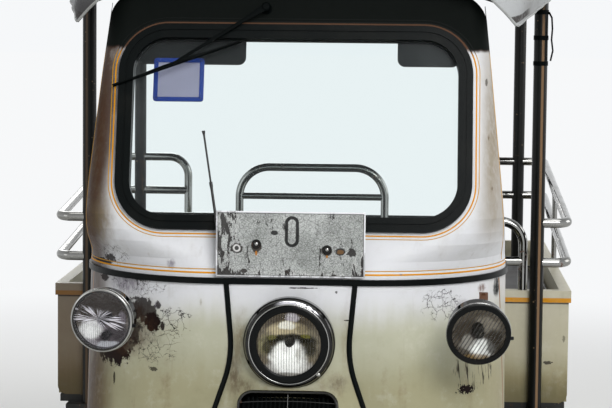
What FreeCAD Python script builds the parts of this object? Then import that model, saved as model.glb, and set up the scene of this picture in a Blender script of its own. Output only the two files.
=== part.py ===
import FreeCAD, Part
import math
import os

# An open three-wheeled taxi: a rounded nose with a windscreen, handlebar steering, a rear tub with
# two side benches, and a vinyl canopy on tube posts. Millimetres; it faces -Y, +X is its left side,
# z = 0 is the ground and x = 0 its middle.

V = FreeCAD.Vector
origin = V(0, 0, 0)
across = V(1, 0, 0)
along = V(0, 1, 0)
up = V(0, 0, 1)

seat_gap = 0.3            # gap between pieces that rest on each other
sheet = 10.0              # pressed body panels
tube_r = 13.0             # chrome passenger rails
post_r = 19.0             # roof posts

# Wheels
wheel_r = 262.0
tyre_half = 59.0
widest_r = 200.0
shoulder_r = 246.0
shoulder_half = 54.0
tread_half = 40.0
bead_r = 132.0
bead_half = 47.0
flange_r = 141.0
flange_wall = 5.0
rim_wall = 4.0
rim_disc_wall = 6.0
rim_dish = 14.0
hub_r = 34.0
hub_half = 48.0
axle_r = 11.0
running_gap = 0.5         # hub on axle and stem in head tube
wheel_slot_r = 11.0
wheel_slots = 8
front_axle_y = -1120.0
rear_axle_y = 850.0
tyre_sides = 60

# Steering
caster = 20.0
fork_spread = 98.0        # middle of each leg from the middle
fork_leg_r = 18.0
fork_slider_r = 21.0
fork_slider_top = 170.0
spring_r = 28.0
spring_coils = 8
crown_low = 315.0
crown_high = 345.0
crown_depth = 56.0
stem_r = 17.0
head_low = 392.0
head_high = 560.0
head_r = 31.0
head_collar_r = 26.0
bar_r = 11.0
bar_half = 330.0
bar_height = 766.0
stem_top = bar_height - 14.0
bar_rise = 20.0
bar_sweep = 80.0
grip_r = 17.0
grip_length = 118.0

# Nose
nose_y = -1180.0          # flat front face
nose_half = 503.0
nose_low = 400.0
nose_fill_deep = 170.0
seam_margin = 12.0        # the front stays flat this far outside each seam's end
nose_back = -730.0
belt_low = 923.0
belt_high = 937.0
belt_proud = 5.0
belt_depth = 22.0
welt_r = 6.0
seam_top_x = 147.0
seam_waist_x = 132.0
seam_waist_z = 752.0
seam_foot_x = 252.0
seam_bend = 260.0
# height of each section of the middle panel, and how far it stands in front of the flat face
nose_sections = (
    (923.0, 4.0), (845.0, 11.0), (760.0, 22.0), (690.0, 42.0),
    (630.0, 74.0), (570.0, 118.0), (500.0, 180.0), (430.0, 232.0))

# Dash shelf and instrument pod
dash_deep = 70.0
dash_thick = 14.0
dash_lip = 12.0
pod_wide = 144.0
pod_deep = 74.0
pod_tall = 74.0

# Windscreen surround, raked back from the belt
rake = 16.8
cowl_top = 1590.0
cowl_top_half = nose_half - 65.0
cowl_wall = 20.0
cowl_back_low = -780.0
cowl_back_high = -905.0
cowl_back_turn_z = 1150.0
cowl_back_turn = 260.0
cowl_top_corner = 84.0
# share of the height of each section and its plan corner radius
cowl_sections = (
    (0.0, 344.0), (0.03, 330.0), (0.06, 300.0), (0.09, 245.0), (0.12, 190.0), (0.16, 140.0),
    (0.21, 100.0), (0.27, 78.0), (0.34, 64.0), (0.71, 43.0), (1.0, 52.0))

# Windscreen: half width and the two edges measured up the rake from the middle of the belt
gasket_half = cowl_top_half - 26.0
gasket_low = 117.0
gasket_high = 607.0
gasket_corner = 115.0
gasket_wide = 34.0
gasket_proud = 10.0
gasket_lap = 17.0
gasket_groove = 5.0
glass_thick = 6.0
glass_lap = 8.0

# Lamps
lamp_z = 793.0
lamp_rim_r = 105.0
lamp_rim_deep = 36.0
lamp_bucket_r = 92.0
lamp_back_y = -1128.0
lamp_lens_r = 84.0
lamp_lens_dome = 14.0
side_lamp_r = 72.0
side_lamp_deep = 66.0
side_lamp_stalk_r = 15.0
side_lamp_foot_out = 14.0
# place across, height, turn outward and tip: one lamp sits higher, the other is knocked down
side_lamp_places = ((82.0 - nose_half, 846.5, -10.0, 4.0), (nose_half - 75.0, 828.5, 3.0, 14.0))

# Grille
grille_half = 115.0
grille_tall = 104.0
grille_corner = 34.0
grille_rim = 11.0
grille_top_z = 692.0
grille_tilt = 27.0
grille_proud = 22.0
grille_bar_r = 2.5

# Number plates
plate_wide = 340.0
plate_tall = 150.0
plate_thick = 2.0
plate_low = 942.0
plate_y = -1193.0
plate_bolt_span = 154.0
plate_bolt_r = 5.0
plate_hole_r = 3.5

# Frame
rail_x = 280.0
rail_wide = 50.0
rail_low = 360.0
rail_high = 440.0
rail_wall = 5.0
rail_front = -880.0
rail_back = 1230.0
cross_tall = 40.0
cross_long = 40.0
outrigger_long = 62.0
outrigger_tall = 35.0
front_outrigger_y = -98.0
neck_r = 17.0
neck_foot_x = 150.0
neck_top = 520.0
neck_top_x = 16.0
floor_thick = 10.0
cab_floor_front = -832.0
toe_top_z = 640.0
toe_top_y = -888.0

# Tub
tub_half = 714.0
tub_front_y = -50.0
tub_back_y = 1270.0
tub_wall = 20.0
tub_low = 460.0
tub_high = 775.0
tub_foot_round = 25.0
cap_tall = 33.0
cap_proud = 6.0
tub_floor_thick = 20.0
deck_thick = 4.0
door_half = 360.0
arch_r = 300.0
arch_lip = 9.0
housing_r = 286.0
rear_track = 2 * (tub_half - 149.0)
housing_wall = 6.0
housing_x = tub_half - 234.0
bench_top = 665.0
bench_wall = 12.0
cushion_thick = 70.0
cushion_back = 1068.0

# Posts, rails and roof
post_x = tub_half - 92.0
post_low = 380.0
rear_post_y = 1100.0
rail_reach = tub_half - 8.0   # passenger rails stand this far from the middle
rail_top_z = 965.0
rail_bottom_z = 855.0
rail_rise = 88.0
rail_bend = 32.0
corner_rail_x = 463.0
hoop_r = 12.0
canopy_wall = 12.0
canopy_front_y = -1040.0
canopy_back_y = 1290.0
canopy_skirt = 26.0
# half width, spring height, crown height and corner radius of the canopy at its front and body
canopy_front = (cowl_top_half + 82.0, 1541.0, 1670.0, 40.0)
canopy_body = (tub_half - 14.0, 1645.0, 1780.0, 90.0)
front_hoop_y = -945.0

# Driver's place
seat_half = 230.0
seat_front_y = -520.0
seat_back_y = -120.0
seat_top = 690.0
seat_wall = 12.0
driver_cushion_thick = 70.0
hoop_half = 200.0
hoop_top = 1113.0
hoop_rung = 1033.0
hoop_tube_r = 11.0
hoop_rung_r = 9.0
hoop_bend = 82.0
pad_half = 165.0
pad_low = 790.0
pad_high = 960.0
pad_thick = 48.0

# Machinery
engine_half = 170.0
engine_front = -500.0
engine_back = -150.0
engine_low = 250.0
engine_high = 620.0
axle_tube_r = 32.0
diff_r = 104.0
drum_r = 108.0
shaft_r = 22.0
leaf_half_span = 355.0
leaf_thick = 7.0
leaf_wide = 50.0
leaf_count = 5
leaf_sag = 20.0
muffler_r = 48.0
pipe_r = 17.0
tank_wide = 170.0
tank_long = 400.0
tank_tall = 170.0
bumper_y = -1461.0
bumper_z = 378.0
bumper_half = 330.0
bumper_r = 19.0
step_half = 350.0
step_back = 1480.0
step_z = 350.0
step_deep = 125.0
step_tube_r = 15.0
step_tread_rise = 10.0
step_tread_thick = 12.0
tail_lamp_x = tub_half - 178.0
tail_lamp_z = 690.0
tail_lamp_r = 44.0
rear_plate_z = 555.0


def box(x, y, z):
    return Part.makeBox(x[1] - x[0], y[1] - y[0], z[1] - z[0], V(x[0], y[0], z[0]))


def rod(start, end, radius):
    run = end - start
    return Part.makeCylinder(radius, run.Length, start, run)


def joined(first, *others):
    return first.fuse(list(others)).removeSplitter()


def mirrored(shape):
    return shape.mirror(origin, across)


def corner(before, point, after, radius):
    """Start, middle and end of the arc that rounds a corner."""
    back = (before - point).normalize()
    ahead = (after - point).normalize()
    half_angle = back.getAngle(ahead) / 2
    inward = (back + ahead).normalize()
    reach = radius / math.tan(half_angle)
    middle = point + inward * (radius / math.sin(half_angle) - radius)
    return point + back * reach, middle, point + ahead * reach


def path(points, bend):
    """Open wire of straight runs joined by tangent arcs of one radius."""
    edges = []
    last = points[0]
    for i in range(1, len(points) - 1):
        start, middle, end = corner(points[i - 1], points[i], points[i + 1], bend)
        edges.append(Part.makeLine(last, start))
        edges.append(Part.Arc(start, middle, end).toShape())
        last = end
    edges.append(Part.makeLine(last, points[-1]))
    return Part.Wire(edges)


def bent_tube(points, radius, bend):
    ring = Part.Wire([Part.makeCircle(radius, points[0], points[1] - points[0])])
    return path(points, bend).makePipeShell([ring], True, False)


def loop(points, radii):
    """Closed outline through the points; each corner has its own radius, or 0 to stay sharp."""
    turns = []
    for i, point in enumerate(points):
        after = points[(i + 1) % len(points)]
        turns.append(corner(points[i - 1], point, after, radii[i]) if radii[i] else (point,))
    edges = []
    for i, turn in enumerate(turns):
        if len(turn) == 3:
            edges.append(Part.Arc(*turn).toShape())
        edges.append(Part.makeLine(turn[-1], turns[(i + 1) % len(turns)][0]))
    return Part.Wire(edges)


def upright_plate(half, low, high, radius, front, deep):
    """Rounded rectangle in the XZ plane, from y = front back by deep."""
    points = [V(-half, front, low), V(half, front, low), V(half, front, high), V(-half, front, high)]
    return Part.Face(loop(points, [radius] * 4)).extrude(V(0, deep, 0))


def lathe(profile, centre, axis, rounding=None):
    """Turn (radius, height) points about an axis through the centre."""
    points = [V(radius, 0, height) for radius, height in profile]
    outline = loop(points, rounding or [0] * len(points))
    solid = Part.Face(outline).revolve(origin, up, 360)
    solid.Placement = FreeCAD.Placement(centre, FreeCAD.Rotation(up, axis))
    return solid


def leaned(shape, angle, y, z):
    """Lean a shape back about X and move its origin to y, z."""
    placed = shape.copy()
    placed.rotate(origin, across, -angle)
    placed.translate(V(0, y, z))
    return placed


def raked(shape):
    return leaned(shape, rake, nose_y, (belt_low + belt_high) / 2)


def steered(shape):
    return leaned(shape, caster, front_axle_y, wheel_r)


def save(name, *shapes):
    solids = [solid for shape in shapes for solid in shape.Solids]
    whole = solids[0] if len(solids) == 1 else Part.makeCompound(solids)
    whole.exportStep("parts/" + name + ".step")


# Nose and windscreen surround

def cab_plan(z, half, front, back, radius):
    """Plan outline of the cab at one height, rounded at its front corners."""
    points = [V(-half, back, z), V(-half, front, z), V(half, front, z), V(half, back, z)]
    return loop(points, [0, radius, radius, 0])


def nose_corner(z):
    """Plan corner radius of the nose: its flat front ends just outside the seams at belt and foot."""
    share = min((z - nose_low) / (belt_low - nose_low), 1.0)
    return nose_half - seam_margin - seam_foot_x - (seam_top_x - seam_foot_x) * share


def cab_block(low, high, inset, back):
    wires = [cab_plan(z, nose_half - inset, nose_y + inset, back, nose_corner(z) - inset)
             for z in (low, high)]
    return Part.makeLoft(wires, True, True)


def seam_corner():
    """Where the seam's bend starts, its centre's place and where it ends, in the front plane."""
    top = V(seam_top_x, 0, belt_low)
    waist = V(seam_waist_x, 0, seam_waist_z)
    foot = V(seam_foot_x, 0, nose_low)
    start, middle, end = corner(top, waist, foot, seam_bend)
    inward = (middle - waist).normalize()
    return start, middle + inward * seam_bend, end


def seam_x(z):
    """Half width of the middle panel at a height."""
    start, centre, end = seam_corner()
    if z >= start.z:
        return start.x + (z - start.z) * (seam_top_x - start.x) / (belt_low - start.z)
    if z <= end.z:
        return end.x + (end.z - z) * (seam_foot_x - end.x) / (end.z - nose_low)
    return centre.x - math.sqrt(seam_bend ** 2 - (z - centre.z) ** 2)


def seam_points():
    return [V(seam_top_x, nose_y, belt_low), V(seam_waist_x, nose_y, seam_waist_z),
            V(seam_foot_x, nose_y, nose_low)]


def nose_section(z, bulge):
    """Ring sector at one height: an arc from seam to seam and the same arc one wall inside."""
    half = seam_x(z) - welt_r / 2
    radius = (half ** 2 + bulge ** 2) / (2 * bulge)
    centre = V(0, nose_y - bulge + radius, z)
    left = V(-half, nose_y, z)
    right = V(half, nose_y, z)
    front = V(0, nose_y - bulge, z)
    inner = [centre + (point - centre) * ((radius - sheet) / radius) for point in (right, front, left)]
    edges = [Part.Arc(left, front, right).toShape(), Part.makeLine(right, inner[0]),
             Part.Arc(*inner).toShape(), Part.makeLine(inner[2], left)]
    return Part.Wire(edges)


def nose_shell():
    return Part.makeLoft([nose_section(z, bulge) for z, bulge in nose_sections], True)


def nose_fill():
    """What lies behind the middle panel's outer face and a small gap, for seating what stands on it."""
    wires = []
    for z, bulge in nose_sections:
        half = seam_x(z) - welt_r / 2
        left = V(-half, nose_y, z)
        right = V(half, nose_y, z)
        back = V(0, nose_fill_deep, 0)
        wires.append(Part.Wire([Part.Arc(left, V(0, nose_y - bulge, z), right).toShape(),
                                Part.makeLine(right, right + back), Part.makeLine(right + back, left + back),
                                Part.makeLine(left + back, left)]))
    fill = Part.makeLoft(wires, True)
    fill.translate(V(0, -seat_gap, 0))
    return fill


def make_nose():
    groove = bent_tube(seam_points(), welt_r + seat_gap, seam_bend)
    centre = nose_shell().cut(groove).cut(mirrored(groove))
    lamp_hole = rod(V(0, nose_y - 200, lamp_z), V(0, nose_y + 100, lamp_z), lamp_bucket_r + seat_gap)
    mouth = upright_plate(grille_half - grille_rim, -grille_tall + grille_rim, -grille_rim,
                          grille_corner - grille_rim, -100, 200)
    centre = centre.cut(lamp_hole).cut(on_grille(mouth))
    save("nose_centre", centre)

    shell = cab_block(nose_low, belt_low, 0, nose_back)
    shell = shell.cut(cab_block(nose_low - 1, belt_low + 1, sheet, nose_back + 100))
    seam = seam_points()
    far = [V(-nose_half - 10, nose_y, seam[2].z - 1), V(-nose_half - 10, nose_y, seam[0].z + 1)]
    seam[0].z += 1
    seam[2].z -= 1
    edges = path(seam, seam_bend).Edges + [Part.makeLine(seam[2], far[0]), Part.makeLine(*far),
                                           Part.makeLine(far[1], seam[0])]
    middle = Part.Face(Part.Wire(edges)).extrude(V(0, nose_back - nose_y + 1, 0))
    middle.translate(V(0, -1, 0))
    left = shell.cut(middle).cut(groove).cut(centre)
    save("nose_side_left", left)
    save("nose_side_right", mirrored(left))

    welt = bent_tube(seam_points(), welt_r, seam_bend)
    strip = cab_block(belt_low, belt_high, -belt_proud, nose_back)
    strip = strip.cut(cab_block(belt_low - 1, belt_high + 1, belt_depth - belt_proud, nose_back + 100))
    save("body_welts", strip, welt, mirrored(welt))


def cowl_half(z):
    share = (z - belt_high) / (cowl_top - belt_high)
    return nose_half + (cowl_top_half - nose_half) * share


def cowl_front(z):
    return nose_y + (z - (belt_low + belt_high) / 2) * math.tan(math.radians(rake))


def cowl_block(inset, back, top):
    """Solid bounded by the surround's outside, or by a surface inset from it."""
    wires = []
    for share, radius in cowl_sections:
        z = belt_high + share * (cowl_top - belt_high)
        wires.append(cab_plan(z, cowl_half(z) - inset, cowl_front(z) + inset, back, radius - inset))
    body = Part.makeLoft(wires, True, True)
    slope = (nose_half - cowl_top_half) / (cowl_top - belt_high)
    spare = 1.0 - inset
    foot = nose_half + spare + slope * 100
    head = cowl_half(top) + spare
    points = [V(-foot, nose_y - 50, belt_high - 100), V(foot, nose_y - 50, belt_high - 100),
              V(head, nose_y - 50, top), V(-head, nose_y - 50, top)]
    round_top = cowl_top_corner - inset
    outline = loop(points, [0, 0, round_top, round_top])
    return body.common(Part.Face(outline).extrude(V(0, 1000, 0)))


def make_cowl():
    body = cowl_block(0, cowl_back_low + 100, cowl_top)
    hollow = cowl_block(cowl_wall, cowl_back_low + 200, cowl_top - cowl_wall)
    side = -nose_half - 20
    edge = [V(side, cowl_back_low, belt_high - 30), V(side, cowl_back_low, belt_high),
            V(side, cowl_back_high, cowl_back_turn_z), V(side, cowl_back_high, cowl_top + 30),
            V(side, 0, cowl_top + 30), V(side, 0, belt_high - 30)]
    behind = Part.Face(loop(edge, [0, 0, cowl_back_turn, 0, 0, 0])).extrude(V(-2 * side, 0, 0))
    inset = gasket_lap
    opening = raked(upright_plate(gasket_half - inset, gasket_low + inset, gasket_high - inset,
                                  gasket_corner - inset, -60, 160))
    cowl = body.cut(hollow).cut(behind).cut(opening)
    save("cowl", cowl)
    return cowl


def gasket_ring(outer, inner, front, deep):
    """Ring between two insets from the gasket's outer edge."""
    def disc(inset, from_y, thick):
        return upright_plate(gasket_half - inset, gasket_low + inset, gasket_high - inset,
                             gasket_corner - inset, from_y, thick)
    return disc(outer, front, deep).cut(disc(inner, front - 1, deep + 2))


def make_windscreen():
    wall = cowl_wall * math.cos(math.radians(rake))
    middle = gasket_wide / 2
    slot_y = wall / 2 - glass_thick / 2
    lip_back = wall + seat_gap
    ring = joined(gasket_ring(0, gasket_wide, -gasket_proud, gasket_proud - seat_gap),
                  gasket_ring(gasket_lap + seat_gap, gasket_wide, -seat_gap - 0.5, lip_back + 1.5),
                  gasket_ring(4, gasket_wide, lip_back, 6))
    groove = gasket_ring(middle - gasket_groove / 2, middle + gasket_groove / 2, -gasket_proud - 1, 3.5)
    glass_slot = upright_plate(gasket_half - gasket_wide + glass_lap + seat_gap,
                               gasket_low + gasket_wide - glass_lap - seat_gap,
                               gasket_high - gasket_wide + glass_lap + seat_gap,
                               gasket_corner - gasket_wide + glass_lap + seat_gap,
                               slot_y - seat_gap, glass_thick + 2 * seat_gap)
    save("windscreen_gasket", raked(ring.cut(groove).cut(glass_slot)))
    glass = upright_plate(gasket_half - gasket_wide + glass_lap, gasket_low + gasket_wide - glass_lap,
                          gasket_high - gasket_wide + glass_lap, gasket_corner - gasket_wide + glass_lap,
                          slot_y, glass_thick)
    save("windscreen_glass", raked(glass))
    return slot_y + glass_thick


def make_screen_fittings(glass_back, cowl):
    """Wiper and aerial in front of the glass, permit holder and visors behind it, in raked places."""
    over = -gasket_proud - 6
    pivot = V(-72, over, 646)
    arm_end = V(-277, over - 5, 512)
    blade = [V(-425, over + 1, 454), V(-129, over + 1, 564)]
    wiper = joined(rod(V(-72, -seat_gap, 646), pivot + V(0, -6, 0), 11), rod(pivot, arm_end, 4),
                   rod(blade[0], blade[1], 5), rod(arm_end, arm_end + V(0, 8, 0), 4))
    save("wiper", raked(wiper))

    foot = V(-162, 0, 73)
    aerial_out = V(0, -gasket_proud - 7, 0)
    aerial = joined(rod(foot + V(0, -seat_gap, 0), foot + aerial_out + V(0, -4, 0), 7),
                    rod(foot + aerial_out, V(-209, 0, 347) + aerial_out, 2.6),
                    rod(foot + aerial_out, V(-174, 0, 141) + aerial_out, 4.5))
    save("aerial", raked(aerial))

    face = glass_back + seat_gap
    holder = upright_plate(59, 0, 104, 4, face, 5).cut(upright_plate(53, 7, 98, 2, face + 2, 2))
    holder.translate(V(-274, 0, 425))
    save("permit_holder", raked(holder))

    visors = []
    above = box((-nose_half, nose_half), (nose_y, 0), (cowl_top - cowl_wall - seat_gap, cowl_top + 200))
    for left, right in ((-376, -120), (236, 380)):
        visor = upright_plate((right - left) / 2, 522, 720, 18, glass_back + 24, 8)
        visor.translate(V((left + right) / 2, 0, 0))
        visors.append(raked(visor).cut(above).cut(cowl))
    save("sun_visors", *visors)


def make_dash():
    """Shelf and instrument pod that fill the plan of the cab just inside the belt."""
    front = nose_y + belt_depth - belt_proud
    back = front + dash_deep
    low = box((-nose_half, nose_half), (front, back), (belt_high - dash_lip, belt_high))
    low = low.common(cab_block(belt_low, belt_high, belt_depth - belt_proud + seat_gap, nose_back))
    inside = cowl_block(cowl_wall + seat_gap, nose_back, cowl_top - cowl_wall)
    shelf = box((-nose_half, nose_half), (nose_y, back), (belt_high, belt_high + dash_thick)).common(inside)
    pod = box((-pod_wide / 2, pod_wide / 2), (back - 30, back + pod_deep), (belt_high, belt_high + pod_tall))
    dial = V(0, back + pod_deep - 1, belt_high + pod_tall * 0.55)
    save("dash", joined(low, shelf, pod, rod(dial, dial + V(0, 7, 0), pod_tall * 0.42)))


# Lamps, grille and plates

def nose_front(z):
    """How far forward the middle panel stands at a height."""
    for (high, high_bulge), (low, low_bulge) in zip(nose_sections, nose_sections[1:]):
        if low <= z <= high:
            return nose_y - high_bulge + (high_bulge - low_bulge) * (high - z) / (high - low)
    return nose_y


def on_grille(shape):
    return leaned(shape, grille_tilt, nose_front(grille_top_z) - grille_proud, grille_top_z)


def make_headlamp():
    rim_front = nose_front(lamp_z) - lamp_rim_deep + 4
    rim_back = nose_front(lamp_z) + 12
    lens_r = lamp_lens_r - seat_gap
    lens_back = rim_front + 20
    profile = [
        (lamp_lens_r - 6, rim_front + 3), (lamp_rim_r - 9, rim_front), (lamp_rim_r, rim_front + 14),
        (lamp_rim_r, rim_back - 4), (lamp_rim_r - 4, rim_back), (lamp_bucket_r, rim_back),
        (lamp_bucket_r, nose_y + 20), (lamp_bucket_r - 34, lamp_back_y), (0, lamp_back_y),
        (0, lamp_back_y - 4), (lamp_bucket_r - 38, lamp_back_y - 4), (lamp_bucket_r - 4, nose_y + 16),
        (lamp_bucket_r - 4, lens_back + 4), (lamp_lens_r, lens_back + 4), (lamp_lens_r, rim_front + 6),
        (lamp_lens_r - 6, rim_front + 6)]
    rounding = [0, 7, 8, 0, 0, 0, 0, 0, 0, 0, 0, 0, 0, 0, 0, 0]
    turned = lathe([(r, -y) for r, y in profile], V(0, 0, lamp_z), V(0, -1, 0), rounding)
    # the rim's back follows the curved panel
    bucket_core = rod(V(0, nose_y - 100, lamp_z), V(0, nose_y + 100, lamp_z), lamp_bucket_r)
    save("headlamp", turned.cut(nose_fill().cut(bucket_core)))

    front = rim_front + 4
    dome = lens_r - 6
    radius = (dome ** 2 + lamp_lens_dome ** 2) / (2 * lamp_lens_dome)
    ball = Part.makeSphere(radius, V(0, front - lamp_lens_dome + radius, lamp_z))
    glass = ball.common(rod(V(0, front - 60, lamp_z), V(0, lens_back, lamp_z), dome))
    rim_part = rod(V(0, rim_front + 6 + seat_gap, lamp_z), V(0, lens_back, lamp_z), lens_r)
    save("headlamp_lens", joined(glass, rim_part))


def side_lamp(x, z, yaw, pitch):
    """One auxiliary lamp: can with rim, lens, and a stalk back to the nose."""
    r = side_lamp_r
    deep = side_lamp_deep
    can = lathe([(r - 8, 0), (r - 1, 0), (r, 3), (r, 9), (r - 4, 11), (r - 5, deep - 16), (r - 22, deep),
                 (0, deep), (0, deep - 3), (r - 24, deep - 3), (r - 8, deep - 18), (r - 8, 0)][:-1],
                origin, up)
    lens_front = 2.0
    lens_r = r - 8 - seat_gap
    radius = (lens_r ** 2 + 10.0 ** 2) / 20.0
    lens = Part.makeSphere(radius, V(0, 0, lens_front - 8 + radius))
    lens = lens.common(rod(V(0, 0, -30), V(0, 0, 8), lens_r))
    stalk = rod(V(0, 0, deep - 2), V(0, 0, deep + 20), side_lamp_stalk_r)
    turn = FreeCAD.Rotation(up, along)
    aim = FreeCAD.Rotation(up, yaw).multiply(FreeCAD.Rotation(across, pitch)).multiply(turn)
    front = V(x, nose_y - side_lamp_deep - 24, z)
    placed = []
    for piece in (joined(can, stalk), lens):
        copy = piece.copy()
        copy.Placement = FreeCAD.Placement(front, aim)
        placed.append(copy)
    back = front + aim.multVec(V(0, 0, deep + 10))
    mount, out = nose_mount(x, z)
    arm = rod(back, mount + out * side_lamp_foot_out / 2, side_lamp_stalk_r * 0.7)
    foot = rod(mount + out * side_lamp_foot_out, mount - out * 20, side_lamp_stalk_r + 7)
    bracket = joined(arm, foot).cut(cab_block(nose_low, belt_low, -seat_gap, nose_back))
    return joined(placed[0], bracket), placed[1]


def nose_mount(x, z):
    """Place on the nose's rounded corner at a distance from the middle, and the way out there."""
    radius = nose_corner(z)
    into = abs(x) - (nose_half - radius)
    turn = math.asin(into / radius)
    out = V(math.copysign(math.sin(turn), x), -math.cos(turn), 0)
    return V(x, nose_y + radius * (1 - math.cos(turn)), z), out


def make_side_lamps():
    cans = []
    lenses = []
    for x, z, yaw, pitch in side_lamp_places:
        can, lens = side_lamp(x, z, yaw, pitch)
        cans.append(can)
        lenses.append(lens)
    save("side_lamps", *cans)
    save("side_lamp_lenses", *lenses)


def make_grille():
    deep = 120.0
    rim = upright_plate(grille_half, -grille_tall, 0, grille_corner, 0, deep)
    rim = rim.cut(upright_plate(grille_half - grille_rim, -grille_tall + grille_rim, -grille_rim,
                                grille_corner - grille_rim, -1, deep + 2))
    mid_z = -grille_tall / 2
    bars = [rod(V(0, 6, -grille_tall + 4), V(0, 6, -4), grille_bar_r)]
    for z in (-grille_rim - 12, mid_z, -grille_tall + grille_rim + 12):
        bars.append(rod(V(-grille_half + 4, 6, z), V(grille_half - 4, 6, z), grille_bar_r))
    mesh = upright_plate(grille_half - grille_rim + 2, -grille_tall + grille_rim - 2, -grille_rim + 2,
                         grille_corner - grille_rim, 14, 3)
    # only the rim is trimmed to the panel; bars and mesh sit in the mouth cut through it
    mouth = upright_plate(grille_half - grille_rim, -grille_tall + grille_rim, -grille_rim,
                          grille_corner - grille_rim, -100, 300)
    behind = nose_fill().cut(on_grille(mouth))
    save("grille", on_grille(joined(rim, mesh, *bars)).cut(behind))


def plate_blank(y):
    return box((-plate_wide / 2, plate_wide / 2), (y, y + plate_thick), (0, plate_tall))


def make_plates():
    bolt_z = plate_tall / 2 + 4
    front = plate_blank(0)
    slot = upright_plate(9, 65, 130, 8.9, -1, plate_thick + 2)
    front = front.cut(slot)
    front.translate(V(0, plate_y, plate_low))
    bolts = []
    for x in (-plate_bolt_span / 2, plate_bolt_span / 2):
        foot_y = cowl_front(plate_low + bolt_z)
        bolt = rod(V(x, plate_y - 5, plate_low + bolt_z), V(x, foot_y + 8, plate_low + bolt_z), plate_bolt_r)
        head = rod(V(x, plate_y - 5, plate_low + bolt_z), V(x, plate_y, plate_low + bolt_z), plate_bolt_r + 5)
        bolts += [bolt.cut(raked(box((-600, 600), (0, 100), (-10, 700)))), head]
    front = joined(front, *bolts)

    rear = plate_blank(0)
    for x in (-plate_bolt_span / 2, plate_bolt_span / 2):
        rear = rear.cut(rod(V(x, -1, plate_tall / 2), V(x, plate_thick + 1, plate_tall / 2), plate_hole_r))
    pads = [box((x - 15, x + 15), (-cap_proud - 4, 0), (z - 8, z + 8))
            for x in (-140, 140) for z in (25, plate_tall - 25)]
    rear = joined(rear, *pads)
    rear.translate(V(tail_lamp_x, tub_back_y + cap_proud + 4 + seat_gap, rear_plate_z - plate_tall / 2))
    save("number_plates", front, rear)


# Frame, floor and machinery

def make_frame():
    inner_x = rail_x - rail_wide / 2
    outer_x = rail_x + rail_wide / 2
    rail = box((inner_x, outer_x), (rail_front, rail_back), (rail_low, rail_high))
    hollow = box((inner_x - 1, outer_x - rail_wall), (rail_front - 1, rail_back + 1),
                 (rail_low + rail_wall, rail_high - rail_wall))
    rail = rail.cut(hollow)
    pieces = [rail, mirrored(rail)]
    web = outer_x - rail_wall
    for y in (-560.0, -110.0, 560.0, rail_back - cross_long):
        pieces.append(box((-web, web), (y, y + cross_long), (rail_high - cross_tall - rail_wall,
                                                              rail_high - rail_wall)))
    front_cross = box((-web, web), (rail_front, rail_front + 30), (rail_high - cross_tall, rail_high))
    pieces.append(front_cross)
    for y in (front_outrigger_y, 490.0, rail_back - outrigger_long):
        for side in (1, -1):
            reach = sorted((side * outer_x, side * (tub_half - 30)))
            pieces.append(box(reach, (y, y + outrigger_long), (rail_high - outrigger_tall, rail_high)))
    for side in (1, -1):
        foot = V(side * neck_foot_x, rail_front + 13, rail_high - 15)
        head = steered_point(neck_top, side * neck_top_x)
        pieces.append(rod(foot, head, neck_r))
    frame = joined(*pieces)
    frame = joined(frame, steered(rod(V(0, 0, head_low), V(0, 0, head_high), head_r)))
    frame = frame.cut(steered(rod(V(0, 0, head_low - 60), V(0, 0, head_high + 60), stem_r + running_gap)))
    frame = frame.cut(steered(rod(V(0, 0, head_low - 60), V(0, 0, head_low), head_collar_r + 3)))
    for x in (-post_x, post_x):
        post = rod(V(x, front_post_y(), post_low), V(x, front_post_y(), rail_high + 10), post_r + seat_gap)
        frame = frame.cut(post)
    save("frame_rails", frame)


def steered_point(height, x=0.0, out=0.0):
    """A point in the tilted frame of the steering, measured up its axis from the front axle."""
    lean = math.radians(caster)
    return V(x, front_axle_y + height * math.sin(lean) + out * math.cos(lean),
             wheel_r + height * math.cos(lean) - out * math.sin(lean))


def front_post_y():
    return tub_front_y - post_r - seat_gap


def make_cab_floor():
    half = nose_half - sheet - seat_gap
    floor = box((-half, half), (cab_floor_front, tub_front_y - 20), (rail_high, rail_high + floor_thick))
    hole_x = engine_half + 12
    hole = box((-hole_x, hole_x), (engine_front - 12, engine_back + 12), (rail_high - 1, rail_high + 20))
    thick = 8.0
    toe = [V(-half, cab_floor_front, rail_high), V(-half, cab_floor_front - thick, rail_high),
           V(-half, toe_top_y - thick, toe_top_z), V(-half, toe_top_y, toe_top_z),
           V(-half, cab_floor_front, rail_high + floor_thick)]
    inside = cab_block(rail_high - 1, toe_top_z + 1, sheet + seat_gap, nose_back)
    toe_board = Part.Face(loop(toe, [0] * 5)).extrude(V(2 * half, 0, 0)).common(inside)
    lip = box((half - 8, half), (nose_back + 20, front_outrigger_y - seat_gap),
              (rail_high - 34, rail_high))
    save("cab_floor", joined(floor.cut(hole), toe_board, lip, mirrored(lip)))


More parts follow.
